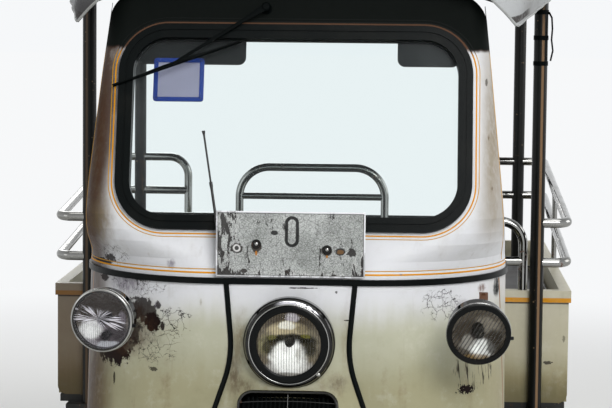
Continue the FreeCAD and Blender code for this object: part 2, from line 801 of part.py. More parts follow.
def make_machinery():
    block = box((-engine_half, engine_half), (engine_front, engine_back), (engine_low, engine_high))
    inner = rail_x - rail_wide / 2
    lugs = [box((-inner, inner), (y, y + 40), (rail_low + 4, rail_low + 40))
            for y in (engine_front + 30, engine_back - 70)]
    save("engine_block", joined(block, *lugs))

    axle_half = rear_track / 2 - hub_half - 8
    axle = rod(V(-axle_half, rear_axle_y, wheel_r), V(axle_half, rear_axle_y, wheel_r), axle_tube_r)
    stub_half = rear_track / 2 + hub_half + 10
    stub = rod(V(-stub_half, rear_axle_y, wheel_r), V(stub_half, rear_axle_y, wheel_r), axle_r)
    ball = lathe([(0, -diff_r * 0.8), (diff_r * 0.55, -diff_r * 0.8), (diff_r, -20), (diff_r, 20),
                  (diff_r * 0.55, diff_r * 0.8), (0, diff_r * 0.8)],
                 V(0, rear_axle_y, wheel_r), across, [0, 20, 30, 30, 20, 0])
    drums = []
    for side in (1, -1):
        inner_x = axle_half - 16
        drums.append(rod(V(side * inner_x, rear_axle_y, wheel_r), V(side * axle_half, rear_axle_y, wheel_r),
                         drum_r))
    nose = rod(V(0, rear_axle_y, wheel_r), V(0, rear_axle_y - diff_r - 50, wheel_r + 6), 46)
    shaft = rod(V(0, rear_axle_y - 60, wheel_r + 4), V(0, engine_back + 2, wheel_r + 62), shaft_r)
    save("rear_axle", joined(axle, stub, ball, nose, shaft, *drums))

    save("leaf_springs", leaf_spring(), mirrored(leaf_spring()))

    y0 = engine_back + seat_gap
    pipe_x = -150.0
    pipe = joined(
        bent_tube([V(-118, y0, 300), V(-118, y0 + 90, 300), V(pipe_x, y0 + 200, 300),
                   V(pipe_x, 320, 300)], pipe_r, 60),
        rod(V(pipe_x, 250, 300), V(pipe_x, 500, 300), muffler_r),
        bent_tube([V(pipe_x, 480, 300), V(pipe_x, 640, 300), V(pipe_x, 740, 334), V(pipe_x, 1150, 334),
                   V(pipe_x, 1250, 310), V(pipe_x, 1340, 310)], pipe_r, 60),
        box((pipe_x - 8, pipe_x + 8), (350, 362), (300, rail_high - seat_gap)))
    save("exhaust", pipe)

    outer = rail_x + rail_wide / 2
    tank = box((outer + seat_gap, outer + tank_wide), (40, 40 + tank_long),
               (rail_high - tank_tall, rail_high - seat_gap))
    tank = tank.makeFillet(24, [edge for edge in tank.Edges if abs(edge.tangentAt(0).y) > 0.9])
    filler = rod(V(outer + tank_wide - 1, 120, rail_high - 60), V(outer + tank_wide + 26, 120, rail_high - 60), 22)
    save("fuel_tank", joined(tank, filler))


def leaf_spring():
    """Stack of curved leaves on the axle, its main leaf hung from the rail at both ends."""
    seat_z = wheel_r + axle_tube_r + seat_gap
    radius = (leaf_half_span ** 2 + leaf_sag ** 2) / (2 * leaf_sag)
    centre_z = seat_z + radius
    x0 = rail_x - leaf_wide / 2
    leaves = []
    for i in range(leaf_count):
        share = 0.36 + 0.64 * i / (leaf_count - 1)
        half_angle = share * leaf_half_span / radius
        outer_r = radius - i * leaf_thick
        inner_r = outer_r - leaf_thick
        points = []
        for r, angle in ((outer_r, -half_angle), (outer_r, 0), (outer_r, half_angle),
                         (inner_r, half_angle), (inner_r, 0), (inner_r, -half_angle)):
            points.append(V(x0, rear_axle_y + r * math.sin(angle), centre_z - r * math.cos(angle)))
        edges = [Part.Arc(*points[:3]).toShape(), Part.makeLine(points[2], points[3]),
                 Part.Arc(*points[3:]).toShape(), Part.makeLine(points[5], points[0])]
        leaves.append(Part.Face(Part.Wire(edges)).extrude(V(leaf_wide, 0, 0)))
    top_r = radius - (leaf_count - 0.5) * leaf_thick
    angle = leaf_half_span / radius
    hangers = []
    for side in (-1, 1):
        eye = V(x0, rear_axle_y + side * (top_r * math.sin(angle)), centre_z - top_r * math.cos(angle))
        hangers.append(rod(eye, eye + V(leaf_wide, 0, 0), 13))
        for x in (x0, x0 + leaf_wide - 7):
            if eye.z + 13 < rail_low:
                hangers.append(box((x, x + 7), (eye.y - 13, eye.y + 13), (eye.z, rail_low - seat_gap)))
    clamp = box((x0 - 5, x0 + leaf_wide + 5), (rear_axle_y - 38, rear_axle_y + 38),
                (seat_z + leaf_thick, seat_z + leaf_count * leaf_thick + 8))
    return joined(*leaves, clamp, *hangers)


def make_bumpers():
    support_x = rail_x - 6
    bar = bent_tube([V(-bumper_half, bumper_y + 60, bumper_z), V(-bumper_half, bumper_y, bumper_z),
                     V(bumper_half, bumper_y, bumper_z), V(bumper_half, bumper_y + 60, bumper_z)],
                    bumper_r, 40)
    arms = []
    for side in (1, -1):
        arms.append(rod(V(side * (support_x + 20), bumper_y, bumper_z),
                        V(side * (support_x + 8), rail_front - seat_gap, rail_low + 36), 13))
        plate = sorted((side * (support_x - 16), side * (support_x + 32)))
        arms.append(box(plate, (rail_front - 8 - seat_gap, rail_front - seat_gap), (rail_low, rail_high)))
    save("front_bumper", joined(bar, *arms))

    arm_x = step_half - 20
    edge_y = step_back - step_tube_r
    tread_x = arm_x - step_tube_r + 3
    tread = box((-tread_x, tread_x), (edge_y - step_deep, edge_y - step_tube_r + 4),
                (step_z + step_tread_rise, step_z + step_tread_rise + step_tread_thick))
    rim = bent_tube([V(-arm_x, rail_back + seat_gap, step_z + 30), V(-arm_x, edge_y, step_z + 6),
                     V(arm_x, edge_y, step_z + 6), V(arm_x, rail_back + seat_gap, step_z + 30)],
                    step_tube_r, 50)
    ends = []
    for side in (1, -1):
        x = sorted((side * (rail_x - 25), side * (step_half + 2)))
        ends.append(box(x, (rail_back + seat_gap, rail_back + 10), (rail_low, rail_high - seat_gap)))
    save("rear_step", joined(rim, tread, *ends))


# Tub, benches, rails and roof

def cap_strip(x, y):
    return box(x, y, (tub_high - cap_tall, tub_high))


def make_tub():
    front = upright_plate(tub_half, tub_low, tub_high + 60, tub_foot_round, tub_front_y, tub_wall)
    front = front.cut(box((-800, 800), (tub_front_y - 1, tub_front_y + 50), (tub_high, tub_high + 80)))
    edge = tub_half + cap_proud
    front_cap = cap_strip((-edge, edge), (tub_front_y - cap_proud, tub_front_y + tub_wall + cap_proud))
    front = joined(front, front_cap)
    for x in (-post_x, post_x):
        front = front.cut(rod(V(x, front_post_y(), tub_low), V(x, front_post_y(), tub_high + 20),
                              post_r + seat_gap))
    save("tub_front", front)

    y0 = tub_front_y + tub_wall
    y1 = tub_back_y - tub_wall
    wall = box((tub_half - tub_wall, tub_half), (y0, y1), (tub_low, tub_high))
    cap = cap_strip((tub_half - tub_wall - cap_proud, edge), (y0 + cap_proud, y1 - cap_proud))
    axle = V(tub_half - tub_wall - 20, rear_axle_y, wheel_r)
    lip = rod(axle + V(20, 0, 0), axle + V(20 + tub_wall + cap_proud, 0, 0), arch_r + arch_lip)
    lip = lip.common(box((0, 800), (y0, y1), (tub_low, tub_high)))
    arch = rod(axle, axle + V(200, 0, 0), arch_r)
    side = joined(wall, cap, lip).cut(arch)
    for y in (y0 - 1, y1 - cap_proud):
        side = side.cut(cap_strip((0, tub_half + 50), (y, y + cap_proud + 1)))
    save("tub_sides", side, mirrored(side))

    rear = upright_plate(tub_half, tub_low, tub_high + 60, tub_foot_round, tub_back_y - tub_wall, tub_wall)
    rear = rear.cut(box((-800, 800), (tub_back_y - 50, tub_back_y + 1), (tub_high, tub_high + 80)))
    rear_cap = cap_strip((-edge, edge), (tub_back_y - tub_wall - cap_proud, tub_back_y + cap_proud))
    doorway = box((-door_half, door_half), (tub_back_y - 60, tub_back_y + 60), (tub_low - 1, tub_high + 1))
    save("tub_rear", joined(rear, rear_cap).cut(doorway))

    floor = box((-tub_half + 7, tub_half - 7), (tub_front_y, tub_back_y - 8),
                (tub_low - tub_floor_thick, tub_low))
    deck = box((-door_half + 8, door_half - 8), (tub_front_y + tub_wall + 8, tub_back_y - 30),
               (tub_low, tub_low + deck_thick))
    floor = joined(floor, deck, *housings())
    for side in (1, -1):
        ends = sorted((side * housing_x, side * (tub_half - tub_wall)))
        cut = box(ends, (rear_axle_y - housing_r, rear_axle_y + housing_r), (0, tub_low + housing_r))
        well = rod(V(ends[0], rear_axle_y, wheel_r), V(ends[1], rear_axle_y, wheel_r), housing_r)
        floor = floor.cut(well.common(cut))
        open_side = sorted((side * (tub_half - tub_wall), side * tub_half))
        floor = floor.cut(rod(V(open_side[0], rear_axle_y, wheel_r), V(open_side[1], rear_axle_y, wheel_r),
                              arch_r))
    save("tub_floor", floor)


def housings():
    """Half-round covers over the rear wheels, closed at the inner side."""
    outer = housing_r + housing_wall
    covers = []
    for side in (1, -1):
        ends = sorted((side * (housing_x - housing_wall), side * (tub_half - tub_wall - seat_gap)))
        drum = rod(V(ends[0], rear_axle_y, wheel_r), V(ends[1], rear_axle_y, wheel_r), outer)
        covers.append(drum.common(box(ends, (rear_axle_y - outer, rear_axle_y + outer),
                                      (tub_low - tub_floor_thick, wheel_r + outer + 1))))
    return covers


def make_benches():
    y0 = tub_front_y + tub_wall + seat_gap
    y1 = tub_back_y - tub_wall - seat_gap
    x1 = tub_half - tub_wall - seat_gap
    front = box((door_half, door_half + bench_wall), (y0, y1), (tub_low, bench_top))
    top = box((door_half, x1), (y0, y1), (bench_top - bench_wall, bench_top))
    bench = joined(front, top)
    save("bench_boxes", bench, mirrored(bench))
    cushion = box((door_half + 4, x1 - 8), (y0 + 10, cushion_back),
                  (bench_top + seat_gap, bench_top + cushion_thick))
    save("bench_cushions", cushion, mirrored(cushion))


def make_rails():
    posts = [rod(V(post_x, y, post_low), V(post_x, y, 1800), post_r + seat_gap)
             for y in (front_post_y(), rear_post_y)]
    rails = []
    for z in (rail_top_z, rail_bottom_z):
        points = [V(post_x, front_post_y(), z), V(rail_reach, front_post_y(), z),
                  V(rail_reach, rear_post_y, z + rail_rise), V(post_x, rear_post_y, z + rail_rise)]
        rails.append(bent_tube(points, tube_r, rail_bend))
    mid_y = (front_post_y() + rear_post_y) / 2
    strut = rod(V(rail_reach, mid_y, tub_high + seat_gap), V(rail_reach, mid_y, rail_top_z + rail_rise / 2), 8)
    corner_top = V(post_x, rear_post_y, rail_top_z + rail_rise)
    corner_bar = bent_tube([corner_top, V(corner_rail_x, rear_post_y, corner_top.z),
                            V(corner_rail_x, rear_post_y, bench_top + seat_gap)], tube_r, 62)
    low_z = rail_bottom_z + rail_rise
    low_bar = rod(V(post_x, rear_post_y, low_z), V(corner_rail_x, rear_post_y, low_z), tube_r)
    side = joined(*rails, strut)
    end = joined(corner_bar, low_bar)
    for post in posts:
        side = side.cut(post)
        end = end.cut(post)
    save("side_rails_left", side, end)
    save("side_rails_right", mirrored(side), mirrored(end))

    y = tub_front_y + tub_wall / 2
    half = post_x - post_r - 18
    foot = tub_high + seat_gap
    hoop = bent_tube([V(-half, y, foot), V(-half, y, rail_top_z), V(half, y, rail_top_z),
                      V(half, y, foot)], tube_r, 62)
    bar = rod(V(-half, y, rail_bottom_z), V(half, y, rail_bottom_z), tube_r)
    save("partition_rail", joined(hoop, bar))


def canopy_size(y):
    """Half width, spring height, crown height and corner radius of the canopy at y."""
    front_y = canopy_front_y
    share = min(1.0, (y - front_y) / (front_post_y() - front_y))
    return [a + (b - a) * share for a, b in zip(canopy_front, canopy_body)]


def arch_edges(y, inset):
    """Three tangent arcs over the roof at y, inset from the canopy's outside, left to right."""
    half, spring, crown, round_r = canopy_size(y)
    span = half - round_r
    tall = crown - spring
    big = (span ** 2 + tall ** 2 - round_r ** 2) / (2 * (tall - round_r))
    centre = V(0, y, crown - big)
    right = V(span, y, spring)
    lean = (right - centre).normalize()
    join = centre + lean * (big - inset)
    r = round_r - inset
    side = V(half - inset, y, spring)
    middle = right + (lean + across).normalize() * r
    def flip(p):
        return V(-p.x, p.y, p.z)
    top = V(0, y, crown - inset)
    return [(flip(side), flip(middle), flip(join)), (flip(join), top, join), (join, middle, side)]


def arch_height(x, y, inset):
    """Height of the inset arch at a distance from the middle."""
    half, spring, crown, round_r = canopy_size(y)
    span = half - round_r
    if abs(x) > span:
        return spring + math.sqrt((round_r - inset) ** 2 - (abs(x) - span) ** 2)
    tall = crown - spring
    big = (span ** 2 + tall ** 2 - round_r ** 2) / (2 * (tall - round_r))
    return crown - big + math.sqrt((big - inset) ** 2 - x ** 2)


def canopy_section(y):
    outer = arch_edges(y, 0)
    inner = [tuple(reversed(arc)) for arc in reversed(arch_edges(y, canopy_wall))]
    low = V(0, 0, -canopy_skirt)
    points = [outer[0][0] + low, inner[-1][-1] + low, inner[0][0] + low, outer[-1][-1] + low]
    edges = [Part.makeLine(points[0], outer[0][0])]
    edges += [Part.Arc(*arc).toShape() for arc in outer]
    edges += [Part.makeLine(outer[-1][-1], points[3]), Part.makeLine(points[3], points[2]),
              Part.makeLine(points[2], inner[0][0])]
    edges += [Part.Arc(*arc).toShape() for arc in inner]
    edges += [Part.makeLine(inner[-1][-1], points[1]), Part.makeLine(points[1], points[0])]
    return Part.Wire(edges)


def hoop(y, radius):
    inset = canopy_wall + radius + seat_gap
    arcs = arch_edges(y, inset)
    spine = Part.Wire([Part.Arc(*arc).toShape() for arc in arcs])
    ring = Part.Wire([Part.makeCircle(radius, arcs[0][0], up)])
    return spine.makePipeShell([ring], True, False)


def make_roof():
    wires = [canopy_section(y) for y in (canopy_front_y, front_post_y(), canopy_back_y)]
    save("canopy", Part.makeLoft(wires, True, True))

    inset = canopy_wall + hoop_r + seat_gap
    hoops = [hoop(y, hoop_r) for y in (front_post_y(), rear_post_y, canopy_back_y - 2 * hoop_r)]
    front_inset = inset + 3
    arcs = arch_edges(front_hoop_y, front_inset)
    spine = Part.Wire([Part.Arc(*arc).toShape() for arc in arcs])
    ring = Part.Wire([Part.makeCircle(hoop_r, arcs[0][0], up)])
    hoops.append(spine.makePipeShell([ring], True, False))
    runs = []
    for side in (1, -1):
        x = side * post_x
        mid = V(x, front_post_y(), arch_height(x, front_post_y(), inset))
        tail = V(x, canopy_back_y - 2 * hoop_r, mid.z)
        ahead_x = side * (cowl_top_half - 20)
        ahead = V(ahead_x, front_hoop_y, arch_height(ahead_x, front_hoop_y, front_inset))
        runs += [rod(mid, tail, hoop_r), rod(ahead, mid, hoop_r)]
        stub_x = side * 300
        stub_top = arch_height(stub_x, front_hoop_y, front_inset)
        runs.append(rod(V(stub_x, front_hoop_y, cowl_top + seat_gap), V(stub_x, front_hoop_y, stub_top), 10))
    frame = joined(*hoops, *runs)
    save("roof_frame", frame)

    posts = []
    for y, low in ((front_post_y(), post_low), (rear_post_y, bench_top + seat_gap)):
        for x in (-post_x, post_x):
            top = arch_height(x, y, inset)
            post = rod(V(x, y, low), V(x, y, top), post_r)
            if y == rear_post_y:
                post = joined(post, rod(V(x, y, low), V(x, y, low + 6), post_r + 12))
            posts.append(max(post.cut(frame).Solids, key=lambda solid: solid.Volume))
    save("roof_posts", *posts)


# Driver's place and small lamps

def make_driver_place():
    low = rail_high + floor_thick
    outer = box((-seat_half, seat_half), (seat_front_y, seat_back_y), (low, seat_top))
    inner = box((-seat_half + seat_wall, seat_half - seat_wall),
                (seat_front_y + seat_wall, seat_back_y - seat_wall), (low - 1, seat_top - seat_wall))
    save("driver_seat_box", outer.cut(inner))
    cushion = box((-seat_half - 4, seat_half + 4), (seat_front_y - 6, seat_back_y - 2),
                  (seat_top + seat_gap, seat_top + driver_cushion_thick))
    hoop_y = seat_back_y + hoop_tube_r + seat_gap
    pad_back = hoop_y - hoop_rung_r - seat_gap
    pad = box((-pad_half, pad_half), (pad_back - pad_thick, pad_back), (pad_low, pad_high))
    save("driver_cushions", cushion, pad)
    frame = bent_tube([V(-hoop_half, hoop_y, low), V(-hoop_half, hoop_y, hoop_top),
                       V(hoop_half, hoop_y, hoop_top), V(hoop_half, hoop_y, low)], hoop_tube_r, hoop_bend)
    rungs = [rod(V(-hoop_half, hoop_y, z), V(hoop_half, hoop_y, z), hoop_rung_r)
             for z in (hoop_rung, pad_high - 30, pad_low + 30)]
    save("driver_hoop", joined(frame, *rungs))


def make_tail_lamps():
    lamps = []
    for side in (1, -1):
        back = V(side * tail_lamp_x, tub_back_y + seat_gap, tail_lamp_z)
        lamps.append(lathe([(0, 0), (tail_lamp_r, 0), (tail_lamp_r, 18), (tail_lamp_r - 12, 32), (0, 32)],
                           back, along, [0, 0, 6, 10, 0]))
    save("tail_lamps", *lamps)


# Wheels and steering

def facet_ring(profile, centre):
    """Closed ring of flat facets: (radius, distance across) points stepped round the X axis."""
    corners = []
    for i in range(tyre_sides):
        angle = 2 * math.pi * i / tyre_sides
        corners.append([centre + V(x, r * math.cos(angle), r * math.sin(angle)) for r, x in profile])
    faces = []
    for i in range(tyre_sides):
        for j in range(len(profile)):
            here, there = corners[i - 1], corners[i]
            edge = [here[j - 1], here[j], there[j], there[j - 1], here[j - 1]]
            faces.append(Part.Face(Part.makePolygon(edge)))
    return Part.Solid(Part.Shell(faces))


def make_wheel(name, centre):
    sidewall = [(bead_r + seat_gap, bead_half), (flange_r + 3, bead_half), (widest_r, tyre_half),
                (shoulder_r, shoulder_half), (wheel_r, tread_half)]
    tyre = sidewall + [(r, -x) for r, x in reversed(sidewall)]
    save(name + "_tyre", facet_ring(tyre, centre))
    side = bead_half + seat_gap
    web = rim_disc_wall / 2
    rim = [(axle_r + running_gap, -hub_half), (axle_r + running_gap, hub_half), (hub_r, hub_half),
           (hub_r, web + rim_dish), (bead_r - 30, web + rim_dish), (bead_r - rim_wall, web),
           (bead_r - rim_wall, side + flange_wall), (flange_r, side + flange_wall), (flange_r, side),
           (bead_r, side), (bead_r, -side), (flange_r, -side), (flange_r, -side - flange_wall),
           (bead_r - rim_wall, -side - flange_wall), (bead_r - rim_wall, -web),
           (bead_r - 30, -web + rim_dish), (hub_r, -web + rim_dish), (hub_r, -hub_half)]
    disc = lathe(rim, centre, across)
    ring_r = (hub_r + bead_r) / 2 + 4
    for i in range(wheel_slots):
        angle = 2 * math.pi * i / wheel_slots
        spot = centre + V(0, ring_r * math.cos(angle), ring_r * math.sin(angle))
        disc = disc.cut(rod(spot - V(40, 0, 0), spot + V(60, 0, 0), wheel_slot_r))
    save(name + "_rim", disc)


def fork_leg(x):
    """Slider, coil spring between its cups, and the tube up to the crown."""
    profile = [(0, fork_slider_top), (fork_slider_r + 8, fork_slider_top),
               (fork_slider_r + 8, fork_slider_top + 6)]
    pitch = (crown_low - 6 - fork_slider_top - 6) / spring_coils
    for i in range(spring_coils):
        z = fork_slider_top + 6 + i * pitch
        profile += [(spring_r - 8, z + 0.04 * pitch), (spring_r, z + 0.32 * pitch),
                    (spring_r, z + 0.64 * pitch), (spring_r - 8, z + 0.92 * pitch)]
    profile += [(fork_slider_r + 8, crown_low - 6), (fork_slider_r + 8, crown_low), (0, crown_low)]
    coil = lathe(profile, V(x, 0, 0), up)
    slider = lathe([(0, -26), (fork_slider_r - 3, -26), (fork_slider_r, 20), (fork_slider_r, fork_slider_top),
                    (0, fork_slider_top)], V(x, 0, 0), up)
    return joined(slider, coil)


def make_steering():
    half = fork_spread + fork_leg_r + 8
    outline = loop([V(-half, -crown_depth / 2, crown_low), V(half, -crown_depth / 2, crown_low),
                    V(half, crown_depth / 2, crown_low), V(-half, crown_depth / 2, crown_low)], [20] * 4)
    crown = Part.Face(outline).extrude(V(0, 0, crown_high - crown_low))
    stem = rod(V(0, 0, crown_low + 5), V(0, 0, stem_top), stem_r)
    collar = rod(V(0, 0, crown_high), V(0, 0, head_low - running_gap), head_collar_r)
    nut = rod(V(0, 0, head_high + running_gap), V(0, 0, head_high + 22), head_collar_r)
    axle = rod(V(-fork_spread, 0, 0), V(fork_spread, 0, 0), axle_r)
    nuts = [rod(V(side * (fork_spread + fork_slider_r - 3), 0, 0),
                V(side * (fork_spread + fork_slider_r + 9), 0, 0), 12) for side in (1, -1)]
    fork = joined(crown, stem, collar, nut, fork_leg(fork_spread), fork_leg(-fork_spread), axle, *nuts)
    save("fork", steered(fork))

    clamp = box((-34, 34), (-20, 20), (stem_top + seat_gap, bar_height + 16))
    points = [V(-bar_half, bar_sweep, bar_height + bar_rise - 14), V(-206, 26, bar_height + bar_rise),
              V(-96, 0, bar_height), V(96, 0, bar_height), V(206, 26, bar_height + bar_rise),
              V(bar_half, bar_sweep, bar_height + bar_rise - 14)]
    bar = bent_tube(points, bar_r, 40)
    pieces = [clamp, bar]
    for end, inner in ((points[0], points[1]), (points[-1], points[-2])):
        run = (inner - end).normalize()
        pieces.append(rod(end - run * 2, end + run * grip_length, grip_r))
        perch = end + run * (grip_length + 16)
        lever = V(0, -46, 4)
        pieces.append(rod(perch, perch + lever, 7))
        pieces.append(rod(perch + lever * 0.9, end + lever * 1.1 + run * 20, 5))
    save("handlebar", steered(joined(*pieces)))


def main():
    os.makedirs("parts", exist_ok=True)
    make_nose()
    cowl = make_cowl()
    glass_back = make_windscreen()
    make_screen_fittings(glass_back, cowl)
    make_dash()
    make_headlamp()
    make_side_lamps()
    make_grille()
    make_plates()
    make_frame()
    make_cab_floor()
    make_machinery()
    make_bumpers()
    make_tub()
    make_benches()
    make_rails()
    make_roof()
    make_driver_place()
    make_tail_lamps()
    make_wheel("front", V(0, front_axle_y, wheel_r))
    make_wheel("rear_left", V(rear_track / 2, rear_axle_y, wheel_r))
    make_wheel("rear_right", V(-rear_track / 2, rear_axle_y, wheel_r))
    make_steering()


main()
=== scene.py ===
import bpy
import bmesh
import math
import numpy as np
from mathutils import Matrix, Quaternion, Vector


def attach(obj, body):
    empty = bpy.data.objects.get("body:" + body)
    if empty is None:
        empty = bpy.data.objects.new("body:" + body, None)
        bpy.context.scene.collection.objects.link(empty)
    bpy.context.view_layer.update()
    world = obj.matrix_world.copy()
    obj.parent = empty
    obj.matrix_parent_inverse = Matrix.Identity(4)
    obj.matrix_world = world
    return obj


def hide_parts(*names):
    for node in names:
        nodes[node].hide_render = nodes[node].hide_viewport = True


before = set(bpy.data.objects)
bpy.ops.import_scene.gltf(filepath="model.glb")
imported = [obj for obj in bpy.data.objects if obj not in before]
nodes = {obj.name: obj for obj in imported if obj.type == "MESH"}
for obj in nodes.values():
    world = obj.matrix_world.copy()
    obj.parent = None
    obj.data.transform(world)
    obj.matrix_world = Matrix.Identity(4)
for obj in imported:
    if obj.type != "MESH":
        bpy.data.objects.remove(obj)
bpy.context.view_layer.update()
scene = bpy.context.scene
print("frame loaded:", len(nodes), "nodes")


# Shader helpers

def tone(red, green, blue):                   # a colour written in 0 to 255 steps, as the shader wants it
    def linear(step):
        share = step / 255
        return share / 12.92 if share <= 0.04045 else ((share + 0.055) / 1.055) ** 2.4
    return (linear(red), linear(green), linear(blue), 1.0)


class Num:                                    # wraps a socket, so that shader maths reads as an expression
    def __init__(self, graph, socket):
        self.graph = graph
        self.socket = socket

    def calc(self, operation, *values):
        return self.graph.node("Math", dict(enumerate(values)), operation=operation)

    def __add__(self, other):
        return self.calc("ADD", self, other)

    def __sub__(self, other):
        return self.calc("SUBTRACT", self, other)

    def __rsub__(self, other):
        return self.calc("SUBTRACT", other, self)

    def __mul__(self, other):
        return self.calc("MULTIPLY", self, other)

    def __truediv__(self, other):
        return self.calc("DIVIDE", self, other)

    def __pow__(self, other):
        return self.calc("POWER", self, other)

    def __abs__(self):
        return self.calc("ABSOLUTE", self)

    __radd__ = __add__
    __rmul__ = __mul__

    def atLeast(self, other):
        return self.calc("MAXIMUM", self, other)

    def atMost(self, other):
        return self.calc("MINIMUM", self, other)

    def root(self):
        return self.calc("SQRT", self)

    def wave(self):
        return self.calc("SINE", self)

    def angle(self, other):
        return self.calc("ARCTAN2", self, other)

    def rise(self, low, high):                # 0 below low, 1 above high; turned round if low > high
        return self.graph.node("MapRange", {0: self, 1: low, 2: high, 3: 0.0, 4: 1.0},
                               interpolation_type="SMOOTHSTEP")


class Graph:                                  # the shader nodes of one material, or of the world
    def __init__(self, tree):
        self.tree = tree
        tree.nodes.clear()

    def node(self, kind, inputs=None, output=0, **settings):
        made = self.tree.nodes.new("ShaderNode" + kind)
        for key, value in settings.items():
            setattr(made, key, value)
        for key, value in (inputs or {}).items():
            if isinstance(value, Num):
                self.tree.links.new(value.socket, made.inputs[key])
            else:
                made.inputs[key].default_value = value
        return Num(self, made.outputs[output])

    def output(self, surface, kind="OutputMaterial"):
        out = self.tree.nodes.new("ShaderNode" + kind)
        self.tree.links.new(surface.socket, out.inputs["Surface"])

    def seen(self):                           # 1 for what the camera sees, also in a mirror or through glass
        camera, mirror, glass = (self.node("LightPath", output="Is %s Ray" % kind)
                                 for kind in ("Camera", "Glossy", "Transmission"))
        return camera.atLeast(mirror).atLeast(glass)


class Paint(Graph):                           # one procedural material, laid by Object coordinates
    def __init__(self, name):
        self.material = bpy.data.materials.new(name)
        self.material.use_nodes = True
        super().__init__(self.material.node_tree)
        self.where = self.node("TexCoord", output="Object")
        parts = self.tree.nodes.new("ShaderNodeSeparateXYZ")
        self.tree.links.new(self.where.socket, parts.inputs[0])
        self.x, self.y, self.z = (Num(self, out) for out in parts.outputs)

    def noise(self, scale, detail=3.0, rough=0.55, stretch=(1, 1, 1), shift=(0, 0, 0), warp=0.0):
        where = self.node("Mapping", {"Vector": self.where, "Location": shift, "Scale": stretch})
        return self.node("TexNoise", {"Vector": where, "Scale": scale, "Detail": detail,
                                      "Roughness": rough, "Distortion": warp})

    def bent(self, scale, detail, amount):    # the place, moved about by noise
        off = self.node("TexNoise", {"Vector": self.where, "Scale": scale, "Detail": detail}, 1)
        off = self.node("VectorMath", {0: off, "Scale": amount}, operation="SCALE")
        return self.node("VectorMath", {0: self.where, 1: off}, operation="ADD")

    def cells(self, scale, feature="F1", where=None):
        return self.node("TexVoronoi", {"Vector": where or self.where, "Scale": scale}, feature=feature)

    def mix(self, amount, first, second):     # first where amount is 0, second where it is 1
        return self.node("Mix", {0: amount, 6: first, 7: second}, 2, data_type="RGBA")

    def blot(self, centre, size, fray=0.5, scale=30.0, soft=0.35):      # a ragged patch round a point
        far = (((self.x - centre[0]) / size[0]) ** 2 + ((self.z - centre[1]) / size[1]) ** 2).root()
        ragged = far + (self.noise(scale, 4.0, 0.65, shift=(centre[0], 0, centre[1])) - 0.5) * (2 * fray)
        return ragged.rise(1.0, 1.0 - soft)

    def bump(self, height, depth, base=None):
        inputs = {"Height": height, "Distance": depth, "Strength": 1.0}
        if base:
            inputs["Normal"] = base
        return self.node("Bump", inputs)

    def close(self, colour, rough=0.5, metal=0.0, bump=None, gloss=0.5, more=None):
        inputs = {"Base Color": colour, "Roughness": rough, "Metallic": metal, "Specular IOR Level": gloss}
        if bump:
            inputs["Normal"] = bump
        inputs.update(more or {})
        self.output(self.node("BsdfPrincipled", inputs))

    # see-through where share is 0, a glossy skin where it is 1
    def film(self, share, tint, colour, rough, gloss=0.5):
        clear = self.node("BsdfTransparent", {"Color": tint})
        skin = self.node("BsdfPrincipled", {"Base Color": colour, "Roughness": rough,
                                            "Specular IOR Level": gloss})
        self.output(self.node("MixShader", {0: share, 1: clear, 2: skin}))


# Mesh helpers

def smooth(points, times):                    # rows of points, each pulled to the mean of its neighbours
    for turn in range(times):
        points[1:-1] = (points[:-2] + 2 * points[1:-1] + points[2:]) / 4
    return points


